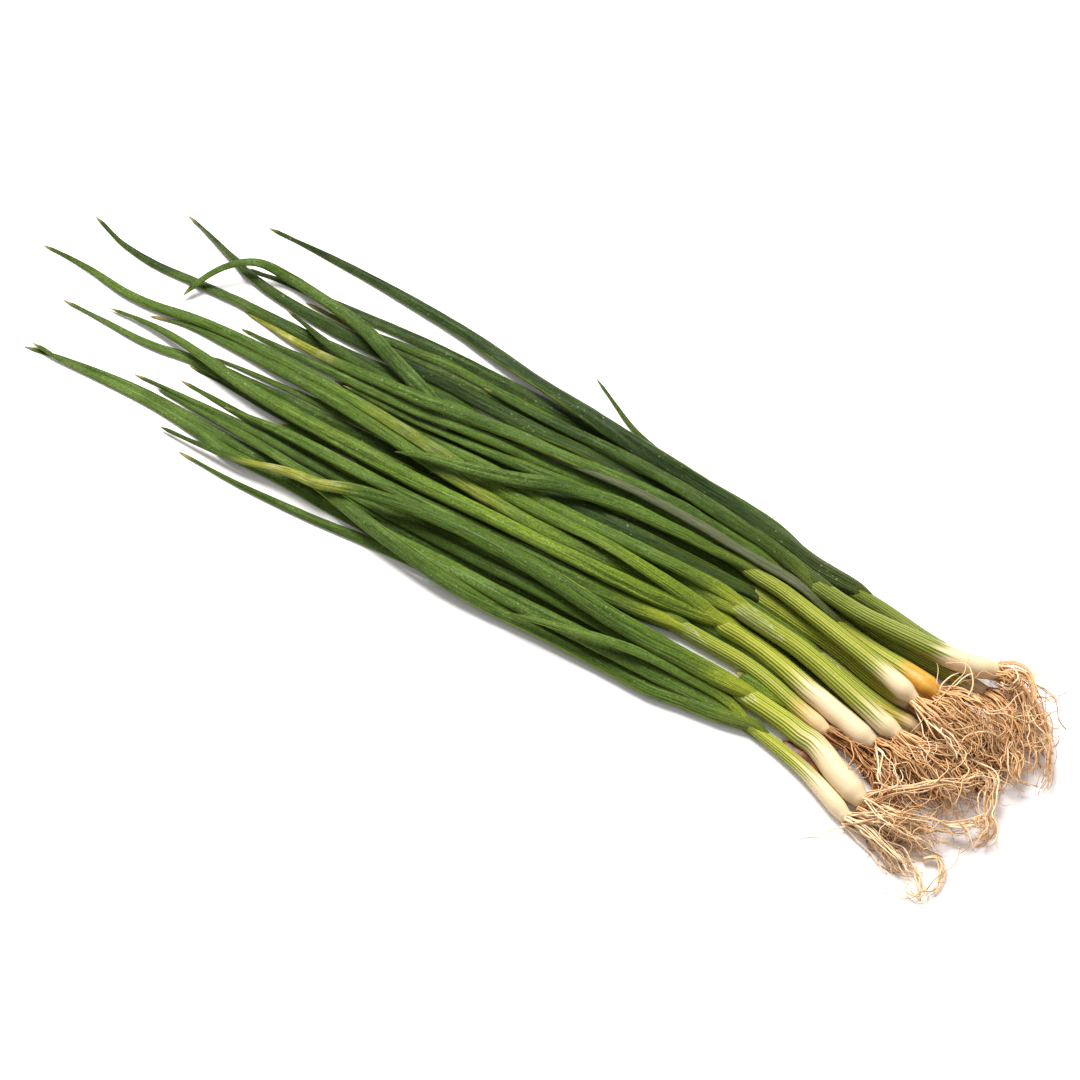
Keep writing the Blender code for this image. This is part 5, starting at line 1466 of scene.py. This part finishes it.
class BUNCH_OT_shoots(bpy.types.Operator):
    """Make the shank and leaves of every onion"""
    bl_idname = "bunch.shoots"
    bl_label = "Shoots"

    def execute(self, context):
        settings = context.scene.shoot_settings
        finish = shoot_finish(settings)
        strands, xs, y, z = settled_bunch()
        for name, onion in ONIONS.items():
            surface = Surface(*SHOOT_MASKS)
            leaves = iter(onion.leaves.items())
            for row, strand in enumerate(strands):
                if strand.onion != name or strand.kind == "root":
                    continue
                if strand.kind == "shank":
                    add_shank(surface, name, strand, xs, y[row], z[row], settings)
                else:
                    title, leaf = next(leaves)
                    add_leaf(surface, f"{name} {title}", strand, leaf, xs, y[row], z[row], settings)
            for title, (girth, look, way) in UNDER.get(name, {}).items():
                placed = np.array([(*raised(px, py, pz), pz, girth) for px, py, pz in way])
                rows = spline(placed, settings.ring_gap / MM)
                rows[:8, 3] *= np.linspace(0.15, 1, 8)
                leaf_skin(surface, f"{name} {title}", rows, 0, look, settings)
            piece = surface.write(f"shoot_{name}", finish)
            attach(piece, "root")
            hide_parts(f"onion_{name}")
        return {"FINISHED"}


class BUNCH_OT_roots(bpy.types.Operator):
    """Make the basal plate and the fibres of every onion"""
    bl_idname = "bunch.roots"
    bl_label = "Roots"

    def execute(self, context):
        settings = context.scene.root_settings
        finish = root_finish(settings)
        strands, xs, y, z = settled_bunch()
        for row, strand in enumerate(strands):
            if strand.kind != "shank":
                continue
            name = strand.onion
            rng = np.random.default_rng(100 + int(name))
            surface = Surface("shade")
            add_plate(surface, ONIONS[name], strand.high, xs, y[row], z[row])
            foot_y, foot_z = (float(np.interp(strand.high, xs, settled[row])) for settled in (y, z))
            start = np.array([strand.high - 1.0, foot_y, foot_z])
            paths = add_mat(surface, rng, name, start, settings)
            add_side_roots(surface, rng, paths, settings)
            piece = surface.write(f"fibres_{name}", finish)
            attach(piece, "root")
            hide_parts(f"roots_{name}")
        return {"FINISHED"}


class BUNCH_OT_dried_scale(bpy.types.Operator):
    """Make the dried scale between two bulbs"""
    bl_idname = "bunch.dried_scale"
    bl_label = "Dried scale"

    def execute(self, context):
        centre = np.array([*BUNCH_CENTRE, 0.0])
        low, high = (np.array(corner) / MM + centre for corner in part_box("dried_scale"))
        share = np.linspace(0.001, 0.999, SCALE_RINGS)
        line = low + (high - low) * np.stack([share, 0.12 + 0.76 * (1 - share), 0 * share], axis=1)
        line[:, 2] = 0.45 * (high[2] - low[2])
        width = 0.62 * (high[1] - low[1]) * np.sin(math.pi * share) ** 0.7
        rows = np.concatenate([line, np.maximum(width, 0.2)[:, None]], axis=1)
        hollow = 1 - 0.3 * np.exp(-((round_angles(SCALE_FACETS) - math.pi) / 0.9) ** 2)
        surface = Surface()
        surface.add_tube(sweep(rows, np.tile(hollow, (SCALE_RINGS, 1)), squash=0.25), line[:, 0] - low[0])
        piece = surface.write("brown_scale", scale_finish())
        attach(piece, "root")
        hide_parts("dried_scale")
        return {"FINISHED"}


# The stage, in metres: the surface lies just under the bunch, and the key light stands behind it to the left
FLOOR_HALF_WIDTH = 3.0
FLOOR_DROP = 0.0002
FLOOR_COLOUR = (0.92, 0.89, 0.89)
KEY_PLACE = (-0.62, 0.68, 1.18)
KEY_SIZE = 0.85
KEY_COLOUR = (1.0, 0.985, 0.96)
SENSOR_WIDTH = 36.0


def area_light(name, place, size, power, aim, colour):
    """A round lamp at a place, turned to the point that it lights."""
    light = bpy.data.lights.new(name, "AREA")
    light.shape = "DISK"
    light.size = size
    light.energy = power
    light.color = colour
    lamp = bpy.data.objects.new(name, light)
    lamp.location = place
    lamp.rotation_mode = "QUATERNION"
    lamp.rotation_quaternion = (Vector(aim) - Vector(place)).to_track_quat("-Z", "Y")
    bpy.context.scene.collection.objects.link(lamp)


class BUNCH_OT_stage(bpy.types.Operator):
    """Make the white surface, the lights and the camera"""
    bl_idname = "bunch.stage"
    bl_label = "Stage"

    def execute(self, context):
        settings = context.scene.stage_settings
        scene = context.scene
        mesh = bpy.data.meshes.new("surface")
        wide = FLOOR_HALF_WIDTH
        corners = [(-wide, -wide), (wide, -wide), (wide, wide), (-wide, wide)]
        mesh.from_pydata([(x, y, -FLOOR_DROP) for x, y in corners], [], [(0, 1, 2, 3)])
        floor = bpy.data.objects.new("surface", mesh)
        scene.collection.objects.link(floor)
        white = NodeTree("white surface")
        white.surface(colour=FLOOR_COLOUR, roughness=0.9)
        mesh.materials.append(white.material)
        world = bpy.data.worlds.new("white room")
        world.use_nodes = True
        background = world.node_tree.nodes["Background"]
        background.inputs["Color"].default_value = (1.0, 1.0, 1.0, 1.0)
        background.inputs["Strength"].default_value = settings.fill
        scene.world = world
        aim = Vector((-BUNCH_CENTRE[0] * MM, -BUNCH_CENTRE[1] * MM, 0))
        area_light("key", KEY_PLACE, KEY_SIZE, settings.key, aim, KEY_COLOUR)
        camera = bpy.data.objects.new("camera", bpy.data.cameras.new("camera"))
        scene.collection.objects.link(camera)
        camera.data.lens = settings.lens
        camera.data.sensor_width = SENSOR_WIDTH
        back = Vector((
            math.sin(settings.turn) * math.cos(settings.tilt),
            -math.cos(settings.turn) * math.cos(settings.tilt),
            math.sin(settings.tilt)))
        camera.location = aim + back * settings.distance
        camera.rotation_mode = "QUATERNION"
        camera.rotation_quaternion = (-back).to_track_quat("-Z", "Y")
        scene.camera = camera
        scene.view_settings.view_transform = "Standard"
        scene.view_settings.look = "None"
        return {"FINISHED"}


class BUNCH_PT_panel(bpy.types.Panel):
    """Sizes, colours and makers of the bunch"""
    bl_label = "Spring onion bunch"
    bl_idname = "BUNCH_PT_panel"
    bl_space_type = "VIEW_3D"
    bl_region_type = "UI"
    bl_category = "Onions"

    def draw(self, context):
        layout = self.layout
        for name in ("shoot_settings", "root_settings", "stage_settings"):
            box = layout.box()
            group = getattr(context.scene, name)
            for field in group.bl_rna.properties:
                if field.identifier not in {"rna_type", "name"}:
                    box.prop(group, field.identifier)
        for operator in MAKERS:
            layout.operator(operator.bl_idname)


MAKERS = (BUNCH_OT_shoots, BUNCH_OT_roots, BUNCH_OT_dried_scale, BUNCH_OT_stage)
CLASSES = (ShootSettings, RootSettings, StageSettings, *MAKERS, BUNCH_PT_panel)


def register():
    for cls in CLASSES:
        bpy.utils.register_class(cls)
    bpy.types.Scene.shoot_settings = PointerProperty(type=ShootSettings)
    bpy.types.Scene.root_settings = PointerProperty(type=RootSettings)
    bpy.types.Scene.stage_settings = PointerProperty(type=StageSettings)


def unregister():
    del bpy.types.Scene.stage_settings
    del bpy.types.Scene.root_settings
    del bpy.types.Scene.shoot_settings
    for cls in reversed(CLASSES):
        bpy.utils.unregister_class(cls)


def main():
    register()
    bpy.ops.bunch.shoots()
    bpy.ops.bunch.roots()
    bpy.ops.bunch.dried_scale()
    bpy.ops.bunch.stage()


if __name__ == "__main__":
    main()
